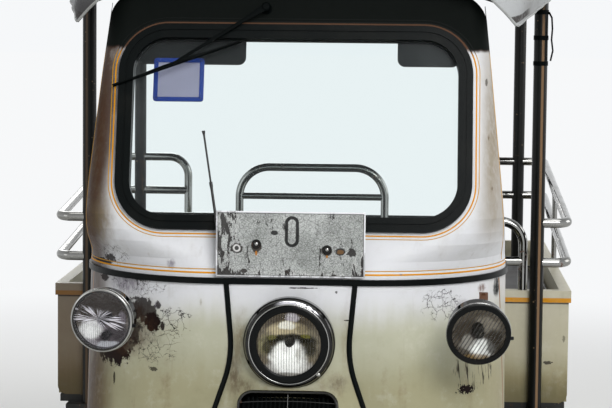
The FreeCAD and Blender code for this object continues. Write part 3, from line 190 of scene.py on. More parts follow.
class Shape:                                  # collects grids of points into one mesh
    def __init__(self):
        self.points = []
        self.faces = []
        self.slots = []
        self.count = 0

    # quads between neighbours in a [rows, columns, 3] array; a wrapped direction closes on itself
    def grid(self, points, wrapRows=False, wrapColumns=False, slot=0):
        rows, columns = points.shape[:2]
        index = np.arange(rows * columns).reshape(rows, columns) + self.count
        if wrapRows:
            index = np.concatenate([index, index[:1]], 0)
        if wrapColumns:
            index = np.concatenate([index, index[:, :1]], 1)
        quads = np.stack([index[:-1, :-1], index[:-1, 1:], index[1:, 1:], index[1:, :-1]], -1).reshape(-1, 4)
        self.points.append(points.reshape(-1, 3))
        self.faces.append(quads)
        self.slots.append(np.full(len(quads), slot))
        self.count += rows * columns
        return self

    # the same, with both ends of the rows drawn in to their middles
    def tube(self, points, slot=0):
        first = points[:1].mean(1, keepdims=True).repeat(points.shape[1], 1)
        last = points[-1:].mean(1, keepdims=True).repeat(points.shape[1], 1)
        return self.grid(np.concatenate([first, points, last]), wrapColumns=True, slot=slot)

    # a thin sheet: two faces of the same rows and columns, and the strips that join their edges
    def slab(self, front, back, backSlot=0):
        self.grid(front)
        self.grid(back, slot=backSlot)
        for edge in (slice(0, 1), slice(-1, None)):
            self.grid(np.concatenate([front[edge], back[edge]]))
            self.grid(np.concatenate([front[:, edge], back[:, edge]], 1))

    # a profile of (radius, back) turned about an axis; a ring's profile closes on itself
    def spin(self, profile, sides, centre, yaw=0.0, pitch=0.0, ring=False, shift=(0, 0, 0)):
        points = lathe(profile, sides) + np.array(shift)
        self.grid(placed(points, centre, yaw, pitch), wrapRows=ring, wrapColumns=True)

    # welds the grids into one object; paints are names in finishes
    def make(self, name, body, slotName, paints, replaces=(), closed=True, sharp=35, facing=None):
        points = np.concatenate(self.points)
        faces = np.concatenate(self.faces)
        mesh = bpy.data.meshes.new(name)
        mesh.from_pydata(points.tolist(), [], faces.tolist())
        mesh.polygons.foreach_set("material_index", np.concatenate(self.slots).astype(np.int32))
        work = bmesh.new()
        work.from_mesh(mesh)
        bmesh.ops.remove_doubles(work, verts=work.verts, dist=2e-6)
        bmesh.ops.dissolve_degenerate(work, edges=work.edges, dist=1e-7)
        if closed:
            bmesh.ops.recalc_face_normals(work, faces=work.faces)
        work.to_mesh(mesh)
        work.free()
        if facing is not None:                # an open sheet, turned so that most of it faces this way
            normals = np.zeros(len(mesh.polygons) * 3)
            mesh.polygons.foreach_get("normal", normals)
            if (normals.reshape(-1, 3) @ np.array(facing, float)).sum() < 0:
                mesh.flip_normals()
        mesh.shade_smooth()
        mesh.set_sharp_from_angle(angle=math.radians(sharp))
        for paint in paints:
            mesh.materials.append(finishes[paint].material)
        piece = bpy.data.objects.new(name, mesh)
        scene.collection.objects.link(piece)
        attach(piece, body)
        if replaces:
            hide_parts(*replaces)
        return piece


def circle(count, start=0.0):
    turn = np.arange(count) * 2 * math.pi / count + start
    return np.cos(turn), np.sin(turn)


# Rings of a round section carried along a path; the section's frame turns as little as it can.
def tubeRings(path, radius, sides=16):
    path = np.asarray(path, float)
    radii = np.broadcast_to(radius, len(path))
    along = np.gradient(path, axis=0)
    along /= np.linalg.norm(along, axis=1, keepdims=True)
    first = np.cross(along[0], (0, 0, 1) if abs(along[0][2]) < 0.9 else (1, 0, 0))
    sideways = [first / np.linalg.norm(first)]
    for step in along[1:]:
        turned = sideways[-1] - step * (sideways[-1] @ step)
        sideways.append(turned / np.linalg.norm(turned))
    sideways = np.array(sideways)
    other = np.cross(along, sideways)
    cosine, sine = circle(sides)
    return (path[:, None] + radii[:, None, None] * (sideways[:, None] * cosine[None, :, None]
                                                    + other[:, None] * sine[None, :, None]))


# Points and outward normals round a rounded rectangle; each side runs from one corner's middle to the next.
def roundRect(half, low, high, radius, perSide):
    points, normals = [], []
    corners = [(half, low, -90), (half, high, 0), (-half, high, 90), (-half, low, 180)]
    for i in range(4):
        x0, z0, start = corners[i]
        x1, z1 = corners[(i + 1) % 4][:2]
        centre0 = np.array([x0 - math.copysign(radius, x0), z0 + (radius if z0 == low else -radius)])
        centre1 = np.array([x1 - math.copysign(radius, x1), z1 + (radius if z1 == low else -radius)])
        run = np.linalg.norm(centre1 - centre0)
        arc = radius * math.pi / 4
        at = np.linspace(0, run + 2 * arc, perSide, endpoint=False)
        turn = np.radians(start + 45) + np.clip(at, 0, arc) / radius
        turn = turn + np.clip(at - arc - run, 0, arc) / radius
        middle = centre0 + (centre1 - centre0) * np.clip((at - arc) / run, 0, 1)[:, None]
        normal = np.stack([np.cos(turn), np.sin(turn)], 1)
        points.append(middle + normal * radius)
        normals.append(normal)
    return np.concatenate(points), np.concatenate(normals)


# Sizes of the cab, in metres
cab = {
    "noseY": -1.180, "half": 0.503, "beltLow": 0.923, "beltHigh": 0.937, "backLow": -0.780,
    "rake": math.radians(16.8), "top": 1.590, "topHalf": 0.438,
    # shares of the windscreen surround's height, and its corner radius at each
    "shares": (0.0, 0.03, 0.06, 0.09, 0.12, 0.16, 0.21, 0.27, 0.34, 0.71, 1.0),
    "corners": (0.344, 0.330, 0.300, 0.245, 0.190, 0.140, 0.100, 0.078, 0.064, 0.043, 0.052),
}
screen = {"half": 0.412, "low": 0.117, "high": 0.607, "corner": 0.115}
beltMid = (cab["beltLow"] + cab["beltHigh"]) / 2


def onRake(x, y, z):                          # from the windscreen's own plane to the frame
    lean = cab["rake"]
    return np.stack([x, cab["noseY"] + y * math.cos(lean) + z * math.sin(lean),
                     beltMid + z * math.cos(lean) - y * math.sin(lean)], -1)


# A plan with round front corners: the point at a distance s round it from the middle, held out from it.
def onPlan(s, z, half, front, radius, out=0.0):
    away = np.abs(s)
    flat = half - radius
    turn = np.clip((away - flat) / radius, 0, math.pi / 2)
    side = np.maximum(away - flat - radius * math.pi / 2, 0)
    x = np.minimum(away, flat) + (radius + out) * np.sin(turn)
    y = front + radius - (radius + out) * np.cos(turn) + side
    return np.stack(np.broadcast_arrays(x * np.sign(s), y, z), -1)


# The windscreen surround's size at a height: half width, front and corner radius.
def cowlAt(z):
    share = (z - cab["beltHigh"]) / (cab["top"] - cab["beltHigh"])
    half = cab["half"] + (cab["topHalf"] - cab["half"]) * share
    front = cab["noseY"] + (z - beltMid) * math.tan(cab["rake"])
    return half, front, np.interp(share, cab["shares"], cab["corners"])


def onCowl(x, z, out=0.0):                    # a point of the surround's outside, held out from it
    half, front, radius = cowlAt(z)
    turn = np.arcsin(np.clip((np.abs(x) - (half - radius)) / radius, 0, 0.999))
    y = front + radius * (1 - np.cos(turn))
    lean = cab["rake"]
    normal = np.stack([np.sin(turn) * np.sign(x), -np.cos(turn) * math.cos(lean),
                       np.cos(turn) * math.sin(lean)], -1)
    return np.stack([x, y, z], -1) + normal * out


# Picture: camera, floor, light

picture = {"place": (0.2710, -6.2396, 1.5659), "yaw": 2.685, "pitch": 5.156, "roll": 0.569, "lens": 131.585}


def makeCamera():
    yaw, pitch, roll = (math.radians(picture[key]) for key in ("yaw", "pitch", "roll"))
    ahead = Vector((-math.sin(yaw) * math.cos(pitch), math.cos(yaw) * math.cos(pitch), -math.sin(pitch)))
    camera = bpy.data.objects.new("camera", bpy.data.cameras.new("camera"))
    camera.data.lens = picture["lens"]
    camera.data.sensor_width = 36
    camera.data.clip_start = 0.1
    camera.data.clip_end = 200
    camera.location = picture["place"]
    camera.rotation_mode = "QUATERNION"
    camera.rotation_quaternion = Quaternion(ahead, -roll) @ ahead.to_track_quat("-Z", "Y")
    scene.collection.objects.link(camera)
    scene.camera = camera
    scene.view_settings.view_transform = "Standard"


light = {
    # strength as light, and as the background is seen at the horizon and above "high"
    "world": 0.34, "horizon": 0.95, "zenith": 0.60, "high": 0.9, "tint": (0.97, 0.985, 1.0, 1.0),
    # place, aim, size across and up, power
    "lamps": (((1.7, -4.6, 3.6), (0.0, -0.6, 1.0), 2.4, 2.0, 150.0),
              ((-3.2, -2.6, 2.0), (0.0, -0.6, 1.0), 1.6, 1.8, 10.0),
              ((0.3, -0.6, 4.8), (0.0, -0.2, 0.8), 3.0, 3.4, 90.0),
              ((-1.2, 4.5, 3.0), (0.0, 0.6, 1.0), 2.4, 2.0, 60.0),
              ((3.6, 0.6, 2.2), (0.0, 0.0, 1.0), 2.0, 1.8, 30.0)),
}


def makeLight():
    world = bpy.data.worlds.new("studio")
    scene.world = world
    world.use_nodes = True
    graph = Graph(world.node_tree)
    up = graph.node("SeparateXYZ", {0: graph.node("TexCoord", output="Generated")}, 2)
    shown = graph.node("MapRange", {0: up, 1: 0.0, 2: light["high"], 3: light["horizon"], 4: light["zenith"]})
    strength = graph.node("Mix", {0: graph.seen(), 2: light["world"], 3: shown})
    graph.output(graph.node("Background", {"Color": light["tint"], "Strength": strength}), "OutputWorld")
    for i, (place, aim, wide, tall, power) in enumerate(light["lamps"]):
        data = bpy.data.lights.new("softbox%d" % i, "AREA")
        data.shape = "RECTANGLE"
        data.size = wide
        data.size_y = tall
        data.energy = power
        lamp = bpy.data.objects.new(data.name, data)
        lamp.location = place
        lamp.rotation_mode = "QUATERNION"
        lamp.rotation_quaternion = (Vector(aim) - Vector(place)).to_track_quat("-Z", "Y")
        scene.collection.objects.link(lamp)


# half size, distances where the floor starts and ends its fade into the background, colours of both
floorLook = {"size": 60.0, "near": 2.2, "far": 6.0, "colour": tone(228, 228, 226),
             "glow": (0.93, 0.94, 0.95, 1)}


def makeFloor():
    paint = Paint("floor")
    away = (paint.x ** 2 + paint.y ** 2).root()
    matt = paint.node("BsdfPrincipled", {"Base Color": floorLook["colour"], "Roughness": 0.9})
    glow = paint.node("Emission", {"Color": floorLook["glow"], "Strength": 1.0})
    share = away.rise(floorLook["near"], floorLook["far"]) * paint.seen()
    paint.output(paint.node("MixShader", {0: share, 1: matt, 2: glow}))
    size = floorLook["size"]
    mesh = bpy.data.meshes.new("floor")
    corners = [(-size, -size, 0), (size, -size, 0), (size, size, 0), (-size, size, 0)]
    mesh.from_pydata(corners, [], [(0, 1, 2, 3)])
    mesh.materials.append(paint.material)
    floor = bpy.data.objects.new("floor", mesh)
    scene.collection.objects.link(floor)


makeCamera()
makeLight()
makeFloor()
print("camera, light and floor")


# Finishes

lampMiddle = 0.793                            # height of the headlamp's middle
leftLamp, rightLamp = (-0.421, 0.8465), (0.428, 0.8285)       # places across and heights of the side lamps
wrapPinch = (-0.006, 0.006)                   # where the left lamp's wrap is pinched, from that lamp's middle

creamLook = {
    "top": tone(218, 219, 222), "middle": tone(180, 180, 159), "low": tone(158, 154, 124),
    "edge": tone(122, 106, 74), "stainAndShade": tone(70, 46, 28), "rust": tone(96, 54, 30),
    "scuff": tone(122, 114, 126), "bare": tone(24, 13, 11), "black": tone(8, 12, 10),
    # heights where the top colour ends, the middle one is reached and the low one is reached
    "levels": (0.905, 0.800, 0.660),
}


tubLook = {
    "outside": (0.7130, -0.0490, 1.2690),     # half width, front and back of the panels' outer faces
    "line": (0.7422, 0.7552), "shadow": (0.7350, 0.7426),         # lowest and highest point of each
    "orange": tone(208, 142, 20), "shade": tone(92, 68, 54), "foot": tone(74, 66, 34),
}


# Fine dark cracks: the edges between cells, their places bent by noise.
def crackLines(paint, scale, wide, bend, bendScale, broken=0.4):
    where = paint.bent(bendScale, 4.0, bend)
    whole = paint.noise(scale * 0.45, 2.0, 0.5).rise(broken, broken + 0.06)
    return paint.cells(scale, "DISTANCE_TO_EDGE", where=where).rise(wide, wide * 0.25) * whole


# Old cream paint. A mark is (kind, centre, size, fray, strength). Its kind is a colour's name, "cracks" or
# "drips".
def creamPaint(name, marks=(), levels=creamLook["levels"], header=False, trim=False, flank=False, gloss=0.12,
               shades=(creamLook["top"], creamLook["middle"], creamLook["low"])):
    paint = Paint(name)
    cloud = paint.noise(3.0, 4.0, 0.6)
    fine = paint.noise(38.0, 5.0, 0.7)
    streak = paint.noise(9.0, 3.0, 0.6, stretch=(3.0, 3.0, 0.25))
    # The colour darkens and yellows from top to bottom: partly yellowed paint, partly painted shade where
    # less light reaches low down.
    height = paint.z + (cloud - 0.5) * 0.10 + (streak - 0.5) * 0.05
    top, middle, low = levels
    colour = paint.mix(height.rise(top, middle), shades[0], shades[1])
    lowness = height.rise(middle, low)
    colour = paint.mix(lowness, colour, shades[2])
    # Painted shade: the colour browns towards the outer sides, where the surfaces turn away from the light.
    side = (abs(paint.x) + (cloud - 0.5) * 0.04).rise(0.40, 0.52)
    if header:                                # painted shade on the pillars, which turn away from the light: they are browner than the band under the glass
        side = (abs(paint.x) + (cloud - 0.5) * 0.03).rise(0.405, 0.455) * paint.z.rise(0.98, 1.08) * 1.5
    colour = paint.mix(side * 0.35, colour, creamLook["edge"])
    # Painted shade, with some brown staining, down the left front flank of the nose and surround, the side
    # away from the light.
    depth = paint.y - (paint.z - 0.93).atLeast(0) * 0.302
    across = paint.x - (paint.z - 0.93).atLeast(0) * 0.075
    leftShadeAndStain = ((across + (cloud - 0.5) * 0.05 + (streak - 0.5) * 0.03).rise(-0.412, -0.470)
                 * (depth + (cloud - 0.5) * 0.1).rise(-0.80, -0.93))
    colour = paint.mix(leftShadeAndStain * 0.95, colour, tone(60, 38, 24))
    grime = (streak * 0.7 + fine * 0.5).rise(0.62, 0.90) * (0.18 + lowness * 0.5)
    colour = paint.mix(grime, colour, creamLook["edge"])
    mottle = paint.noise(16.0, 6.0, 0.72)
    colour = paint.mix(mottle.rise(0.50, 0.74) * (0.12 + lowness * 0.22), colour, tone(140, 138, 108))
    colour = paint.mix(mottle.rise(0.48, 0.30) * 0.14, colour, tone(232, 232, 226))
    hairs = paint.noise(60.0, 2.0, 0.5, stretch=(1.0, 1.0, 0.02), shift=(3, 0, 0)).rise(0.66, 0.72)
    colour = paint.mix(hairs * streak.rise(0.4, 0.6) * 0.16, colour, creamLook["edge"])
    specks = paint.cells(95.0).rise(0.14, 0.05) * paint.noise(6.0).rise(0.58, 0.72)
    colour = paint.mix(specks * 0.7, colour, creamLook["bare"])
    wear = specks
    if marks:
        cracks = crackLines(paint, 34.0, 0.020, 0.030, 45.0)
        cracks = cracks.atLeast(crackLines(paint, 78.0, 0.030, 0.016, 70.0, 0.46))
        drips = paint.noise(150.0, 3.0, 0.6, stretch=(1.0, 1.0, 0.07)).rise(0.56, 0.64)
    soft = {"stainAndShade": 1.0, "edge": 1.0, "scuff": 0.8, "rust": 0.8, "black": 0.5}      # marks with soft edges
    rub = (paint.noise(120.0, 4.0, 0.7, stretch=(1.0, 1.0, 0.35)).rise(0.34, 0.62) * 0.6 + 0.5).atMost(1)
    for kind, centre, size, fray, strength in marks:
        gentle = kind in soft
        ragged = fray * (0.7 if gentle else 1.15)
        patch = paint.blot(centre, size, ragged, 2.6 / max(size), soft.get(kind, 0.16)) * strength
        patch = patch * rub if gentle else patch
        tint = creamLook["bare"]
        if kind == "cracks":
            patch = patch * cracks
        elif kind == "drips":
            patch = patch * drips
        else:
            tint = creamLook[kind]
        colour = paint.mix(patch, colour, tint)
        wear = wear.atLeast(patch)
    if trim:                                  # an orange line under the cap, and a painted shadow line below it
        reach, front, back = tubLook["outside"]
        outside = abs(paint.x).rise(reach, reach + 0.0008).atLeast(paint.y.rise(front, front - 0.0008))
        outside = outside.atLeast(paint.y.rise(back, back + 0.0008))
        uneven = paint.z + (fine - 0.5) * 0.0016
        low, high = tubLook["line"]
        band = uneven.rise(low, low + 0.0006) * uneven.rise(high, high - 0.0006) * outside
        colour = paint.mix(band * (0.65 + fine * 0.6).atMost(1), colour, tubLook["orange"])
        shaded = paint.x.rise(-0.560, -0.600) * paint.y.rise(-0.0420, -0.0490)
        colour = paint.mix(shaded * (0.6 + cloud * 0.3), colour, tubLook["shade"])
        # painted shadow under the cap's lower edge
        low, high = tubLook["shadow"]
        line = uneven.rise(low, low + 0.0050) * uneven.rise(high, high - 0.0006) * outside
        colour = paint.mix(line * 0.85, colour, creamLook["bare"])
        foot = (uneven + (streak - 0.5) * 0.09).rise(0.56, 0.47) * outside
        colour = paint.mix(foot * 0.55, colour, tubLook["foot"])
        spots = paint.blot((0.658, 0.572), (0.013, 0.006), 1.3, 170.0, 0.2)
        spots = spots.atLeast(paint.blot((0.702, 0.640), (0.004, 0.010), 1.3, 200.0, 0.2) * 0.6) * outside
        colour = paint.mix(spots * 0.85, colour, creamLook["bare"])
    if flank:                                 # a brown line down each flank of the nose, beside a dark line of painted shadow
        at = abs(paint.y + 0.952)
        outer = abs(paint.x).rise(0.455, 0.465) * paint.z.rise(0.922, 0.918)
        colour = paint.mix(at.rise(0.0046, 0.0038) * outer * 0.8, colour, creamLook["bare"])
        colour = paint.mix(at.rise(0.0024, 0.0018) * outer * 0.9, colour, tone(172, 112, 44))
    if header:                                # the surround's head is black outside its stripes: partly black paint, partly painted shade under the canopy; the cream strip next to the rubber is browned as painted shade
        lean = math.cos(cab["rake"])
        radius = screen["corner"]
        middle = (screen["low"] + screen["high"]) / 2
        first = abs(paint.x) - (screen["half"] - radius)
        second = abs((paint.z - beltMid) / lean - middle) - ((screen["high"] - screen["low"]) / 2 - radius)
        off = (first.atLeast(0) ** 2 + second.atLeast(0) ** 2).root()
        off = off + first.atLeast(second).atMost(0) - radius
        crown = (paint.z + (fine - 0.5) * 0.012).rise(1.450, 1.462) * paint.y.rise(-0.78, -0.80)
        colour = paint.mix(crown, colour, tone(92, 66, 50))
        colour = paint.mix(off.rise(0.0060, 0.0068) * crown, colour, creamLook["black"])
        wear = wear.atLeast(crown)
    dents = paint.bump(paint.noise(5.0, 2.0, 0.5), 0.0030)
    skin = paint.bump(fine - wear * 1.4, 0.0004, dents)
    paint.close(colour, (0.34 + fine * 0.16 + wear * 0.3 + lowness * 0.08), bump=skin,
                gloss=gloss, more={"Coat Weight": (1 - wear.atMost(1)) * gloss, "Coat Roughness": 0.10})
    return paint


def chromePaint(name, base, rust, rough, paintedHighlight=False):
    paint = Paint(name)
    fine = paint.noise(60.0, 5.0, 0.65)
    dull = paint.noise(9.0, 4.0, 0.6).rise(0.42, 0.72)
    spots = paint.noise(46.0, 5.0, 0.7) + paint.noise(7.0) * 0.5
    spots = spots.rise(0.93 - rust * 0.12, 1.02 - rust * 0.12)
    colour = paint.mix(dull * 0.5, base, (base[0] * 0.6, base[1] * 0.58, base[2] * 0.52, 1))
    colour = paint.mix(spots, colour, tone(88, 58, 38))
    if paintedHighlight:                              # painted highlight: the rim is painted bright along its top, where it would mirror the light, with a paler painted line round it
        up = paint.z - lampMiddle
        far = (paint.x ** 2 + up ** 2).root()
        turn = paint.x.angle(up)
        ticks = (turn * 34).wave().rise(0.1, 0.5) * turn.rise(0.38, 0.42) * turn.rise(0.72, 0.66)
        middle = abs(turn - 0.22)
        wide = middle.rise(0.62, 0.30)
        bright = wide * far.rise(0.0915, 0.0935) * far.rise(0.1000, 0.0975) * (1 - ticks * 0.85)
        colour = paint.mix(bright, colour, (0.86, 0.85, 0.90, 1))
        highlightRing = abs(far - 0.1005).rise(0.0012, 0.0006) * 0.5
        colour = paint.mix(highlightRing, colour, (0.40, 0.39, 0.38, 1))
    skin = paint.bump(fine + spots * 0.8, 0.00012, paint.bump(paint.noise(14.0, 2.0), 0.0006))
    paint.close(colour, (rough + dull * 0.16 + spots * 0.5), 1.0 - spots * 0.85, bump=skin)
    return paint


def enamelPaint(name, base, chip, amount=0.4, rough=0.32, gloss=0.3, streak=0.0, crown=False):
    paint = Paint(name)
    run = paint.noise(30.0, 4.0, 0.6, stretch=(1.0, 1.0, 0.06))
    fine = paint.noise(70.0, 4.0, 0.7)
    worn = (run * 0.8 + fine * 0.3).rise(0.72 - amount * 0.14, 0.84 - amount * 0.14)
    chips = paint.cells(60.0).rise(0.20, 0.08) * paint.noise(8.0).rise(0.5, 0.62)
    colour = paint.mix(worn * 0.7, base, chip)
    if streak:                                # a brass-brown streak down one side: a painted highlight, laid as paint rubbed to the undercoat
        place = abs(paint.x) - streak
        rubbedHighlight = place.rise(0.0010, 0.0030) * place.rise(0.0098, 0.0078) * paint.y.rise(-0.055, -0.070)
        rubbedHighlight = rubbedHighlight * (paint.x.rise(-0.1, 0.1) * 0.65 + 0.35)
        colour = paint.mix(rubbedHighlight * (run.rise(0.30, 0.52) * 0.9), colour, tone(132, 104, 76))
    colour = paint.mix(chips, colour, tone(120, 100, 78))
    if crown:                                 # blackened where the head of the surround is black: partly black paint, partly painted shade under the canopy
        colour = paint.mix(paint.z.rise(1.440, 1.458), colour, creamLook["black"])
    skin = paint.bump(fine - chips, 0.0003)
    paint.close(colour, (rough + worn * 0.25 + fine * 0.1), bump=skin, gloss=gloss)
    return paint


def rubberPaint(name, base, dust=0.3, rough=0.45, gloss=0.2):
    paint = Paint(name)
    fine = paint.noise(90.0, 4.0, 0.7)
    cloud = paint.noise(7.0, 4.0, 0.6).rise(0.45, 0.75) * dust
    colour = paint.mix(cloud, base, tone(96, 92, 82))
    paint.close(colour, (rough + cloud * 0.3 + fine * 0.12), bump=paint.bump(fine, 0.00025), gloss=gloss)
    return paint


# Coated cloth: a fine weave under a skin, dirt in clouds and in runs down the slope, and folds.
def clothPaint(name, base, dirt, rough=0.6, gloss=0.4, dirtAndShade=False):
    paint = Paint(name)
    weave = (paint.x * 2600).wave() * (paint.y * 2600).wave()
    cloud = paint.noise(3.2, 5.0, 0.62).rise(0.42, 0.78)
    runs = paint.noise(16.0, 4.0, 0.6, stretch=(0.35, 1.0, 0.2)).rise(0.55, 0.80)
    spots = paint.cells(24.0).rise(0.10, 0.03) * paint.noise(5.0).rise(0.52, 0.64)
    colour = paint.mix(cloud * 0.55 + runs * 0.25, base, dirt)
    colour = paint.mix(spots * 0.6, colour, dirt)
    if dirtAndShade:                                 # a strip above the hem of each side, towards the front, partly dirt and partly painted shade of a fold; and painted shade on the left front corner
        over = paint.z - (1.5150 + (paint.y + 1.040) * 0.1071)
        band = over.rise(0.0050, 0.0070) * over.rise(0.0215, 0.0185)
        band = band * paint.y.rise(-0.80, -0.88) * abs(paint.x).rise(0.494, 0.500)
        corner = (paint.x + (cloud - 0.5) * 0.04).rise(-0.43, -0.47)
        corner = corner * (paint.y + (cloud - 0.5) * 0.08).rise(-0.84, -0.98)
        colour = paint.mix(corner * 0.88, colour, tone(26, 22, 23))
        band = band * (paint.noise(90.0, 3.0).rise(0.34, 0.5) * 0.35 + 0.62)
        colour = paint.mix(band, colour, tone(34, 28, 25))
    creases = paint.noise(9.0, 4.0, 0.6, warp=0.8)
    skin = paint.bump(weave, 0.00012, paint.bump(creases, 0.0012))
    paint.close(colour, (rough + cloud * 0.15), bump=skin, gloss=gloss)
    return paint


def vinylPaint(name, base, dirt, grain=260.0, rough=0.5):
    paint = Paint(name)
    pores = paint.cells(grain).rise(0.0, 0.7)
    cloud = paint.noise(4.0, 5.0, 0.6).rise(0.40, 0.75)
    fine = paint.noise(45.0, 3.0)
    colour = paint.mix(cloud * 0.6, base, dirt)
    colour = paint.mix(fine.rise(0.55, 0.8) * 0.3, colour, dirt)
    paint.close(colour, (rough + cloud * 0.2), bump=paint.bump(pores, 0.0003))
    return paint


def glassPaint(name, tint=(0.93, 0.97, 0.97, 1), haze=0.006, streaks=0.3):
    paint = Paint(name)
    smear = paint.noise(2.5, 5.0, 0.62, stretch=(1.0, 1.0, 0.7)).rise(0.46, 0.78)
    dust = smear * streaks * 0.10 + haze
    slope = paint.node("Fresnel", {"IOR": 1.5})
    paint.film((slope * 0.3 + dust).atMost(0.9), tint, (0.80, 0.84, 0.86, 1), 0.04, 0.6)
    return paint


# Pressed lamp glass: clear, glossy at its edge, with a painted dark shade line down each flute's side, and
# some dirt.
# Each lamp is (place across, height, turn of its flutes in degrees, their pitch, how dark their lines are).
def lampGlassPaint(name, lamps, haze=0.02):
    paint = Paint(name)
    lines = None
    for x, z, turn, pitch, deep in lamps:
        angle = math.radians(turn)
        along = (paint.x - x) * math.cos(angle) - (paint.z - z) * math.sin(angle)
        near = (((paint.x - x) ** 2 + (paint.z - z) ** 2).root()).rise(0.090, 0.085)
        line = (along * (2 * math.pi / pitch)).wave().rise(0.25, 0.95) * near * deep
        lines = line if lines is None else lines.atLeast(line)
    dirt = paint.noise(30.0, 5.0, 0.7).rise(0.50, 0.8) * 0.10 + haze
    shade = paint.mix(dirt.rise(0.04, 0.10), tone(34, 31, 27), tone(120, 114, 102))
    slope = paint.node("Fresnel", {"IOR": 1.35})
    paint.film((slope * 0.55 + lines + dirt).atMost(0.9), (0.95, 0.96, 0.94, 1), shade, 0.06, 0.6)
    return paint


# Silvered bowls with what they mirror painted in, one patch over the other, and a painted glow of their own
# colour. Each patch is (across, height,
# half width, half height, colour, raggedness, strength).
def reflectorPaint(name, base, patches, glow):
    paint = Paint(name)
    fine = paint.noise(55.0, 4.0, 0.65)
    colour = paint.mix(fine.rise(0.35, 0.7), base, (base[0] * 0.5, base[1] * 0.5, base[2] * 0.48, 1))
    for x, z, wide, tall, tint, fray, strength in patches:
        patch = paint.blot((x, z), (wide, tall), fray, 40.0, 0.45) * strength
        colour = paint.mix(patch, colour, tone(*tint))
    paint.close(colour, (0.20 + fine * 0.15), 0.25, bump=paint.bump(fine, 0.0003), gloss=0.2,
                more={"Emission Color": colour, "Emission Strength": glow})
    return paint


headlampPatches = (
    (0.0, 0.842, 0.080, 0.034, (70, 61, 50), 0.3, 0.85),
    (0.050, 0.790, 0.022, 0.045, (128, 120, 102), 0.4, 0.7),
    (-0.056, 0.790, 0.016, 0.030, (132, 126, 96), 0.4, 0.8),
    (0.006, 0.851, 0.019, 0.017, (190, 184, 194), 0.4, 0.9),
    (-0.003, 0.820, 0.056, 0.026, (186, 172, 144), 0.3, 0.95),
    (-0.006, 0.831, 0.023, 0.014, (244, 240, 232), 0.5, 0.95),
    (0.028, 0.822, 0.018, 0.012, (90, 80, 60), 0.6, 0.6),
    (0.000, 0.799, 0.080, 0.0135, (22, 20, 12), 0.4, 0.97),
    (0.046, 0.786, 0.024, 0.030, (26, 24, 15), 0.5, 0.9),
    (-0.046, 0.782, 0.020, 0.020, (34, 31, 20), 0.6, 0.8),
    (-0.040, 0.803, 0.012, 0.007, (112, 108, 62), 0.5, 0.6),
    (0.036, 0.806, 0.014, 0.006, (116, 112, 52), 0.5, 0.7),
    (0.0, 0.738, 0.066, 0.024, (186, 184, 186), 0.4, 0.75),
    (-0.003, 0.757, 0.050, 0.044, (250, 250, 252), 0.35, 1.0),
    (0.020, 0.765, 0.010, 0.022, (120, 114, 104), 0.8, 0.5),
    (0.0, 0.722, 0.050, 0.007, (76, 70, 62), 0.4, 0.7),
)
sideLampPatches = (
    # left: brown above, lilac grey and a white patch below, a black cluster under the bulb
    (-0.421, 0.873, 0.085, 0.050, (48, 41, 33), 0.3, 0.95),
    (-0.421, 0.803, 0.085, 0.040, (96, 88, 96), 0.5, 0.9),
    (-0.450, 0.820, 0.030, 0.027, (246, 246, 248), 0.45, 1.0),
    (-0.388, 0.824, 0.030, 0.034, (50, 44, 47), 0.6, 0.9),
    (-0.416, 0.807, 0.0165, 0.0165, (12, 10, 12), 1.0, 1.0),
    (-0.400, 0.788, 0.044, 0.011, (214, 216, 226), 0.7, 0.85),
    (-0.455, 0.792, 0.026, 0.010, (176, 172, 180), 0.7, 0.8),
    (-0.376, 0.850, 0.012, 0.020, (132, 124, 136), 0.7, 0.7),
    # right: grey brown with a dark middle and a white patch below
    (0.428, 0.872, 0.080, 0.036, (96, 88, 78), 0.4, 0.8),
    (0.444, 0.846, 0.036, 0.024, (162, 154, 144), 0.6, 0.7),
    (0.398, 0.832, 0.030, 0.036, (62, 54, 46), 0.6, 0.8),
    (0.404, 0.806, 0.020, 0.020, (176, 172, 168), 0.7, 0.7),
    (0.437, 0.794, 0.032, 0.025, (250, 250, 252), 0.4, 1.0),
    (0.464, 0.808, 0.024, 0.036, (52, 46, 40), 0.6, 0.85),
    (0.428, 0.829, 0.024, 0.022, (28, 24, 22), 0.5, 0.9),
    (0.420, 0.773, 0.044, 0.010, (150, 120, 74), 0.4, 0.6),
)


def wrapPaint():                              # thin clear plastic: see-through but for painted white highlights along its folds
    paint = Paint("clearWrap")
    x, z = paint.x - (leftLamp[0] + wrapPinch[0]), paint.z - (leftLamp[1] + wrapPinch[1])
    far = (x ** 2 + z ** 2).root()
    around = paint.node("CombineXYZ", {0: z.angle(x) * 5.0, 1: far * 9.0})
    rays = paint.node("TexNoise", {"Vector": around, "Scale": 2.2, "Detail": 3.0}, noise_dimensions="2D")
    across = abs(z + x * 0.18).rise(0.026, 0.010)
    share = rays.rise(0.50, 0.62) * across * far.rise(0.070, 0.045) * 0.85
    paint.film((share + 0.03).atMost(0.92), (0.93, 0.92, 0.94, 1), tone(232, 230, 238), 0.12)
    return paint


def metalPaint(name, base, rust=0.5):
    paint = Paint(name)
    cloud = paint.noise(12.0, 5.0, 0.7)
    fine = paint.noise(80.0, 4.0, 0.7)
    rusty = (cloud * 0.7 + fine * 0.3).rise(0.62 - rust * 0.2, 0.76 - rust * 0.2)
    colour = paint.mix(rusty, base, tone(88, 56, 38))
    colour = paint.mix(paint.noise(5.0).rise(0.5, 0.8) * 0.6, colour, tone(44, 40, 34))
    skin = paint.bump(fine + rusty * 0.5, 0.0004)
    paint.close(colour, 0.42 + rusty * 0.4, 0.75 - rusty * 0.75, bump=skin)
    return paint


def tyrePaint():
    paint = Paint("tyreRubber")
    fine = paint.noise(120.0, 4.0, 0.7)
    dust = paint.noise(9.0, 4.0, 0.6).rise(0.40, 0.7)
    colour = paint.mix(dust * 0.55, tone(33, 33, 33), tone(104, 98, 88))
    paint.close(colour, (0.68 + fine * 0.15), bump=paint.bump(fine, 0.0004))
    return paint


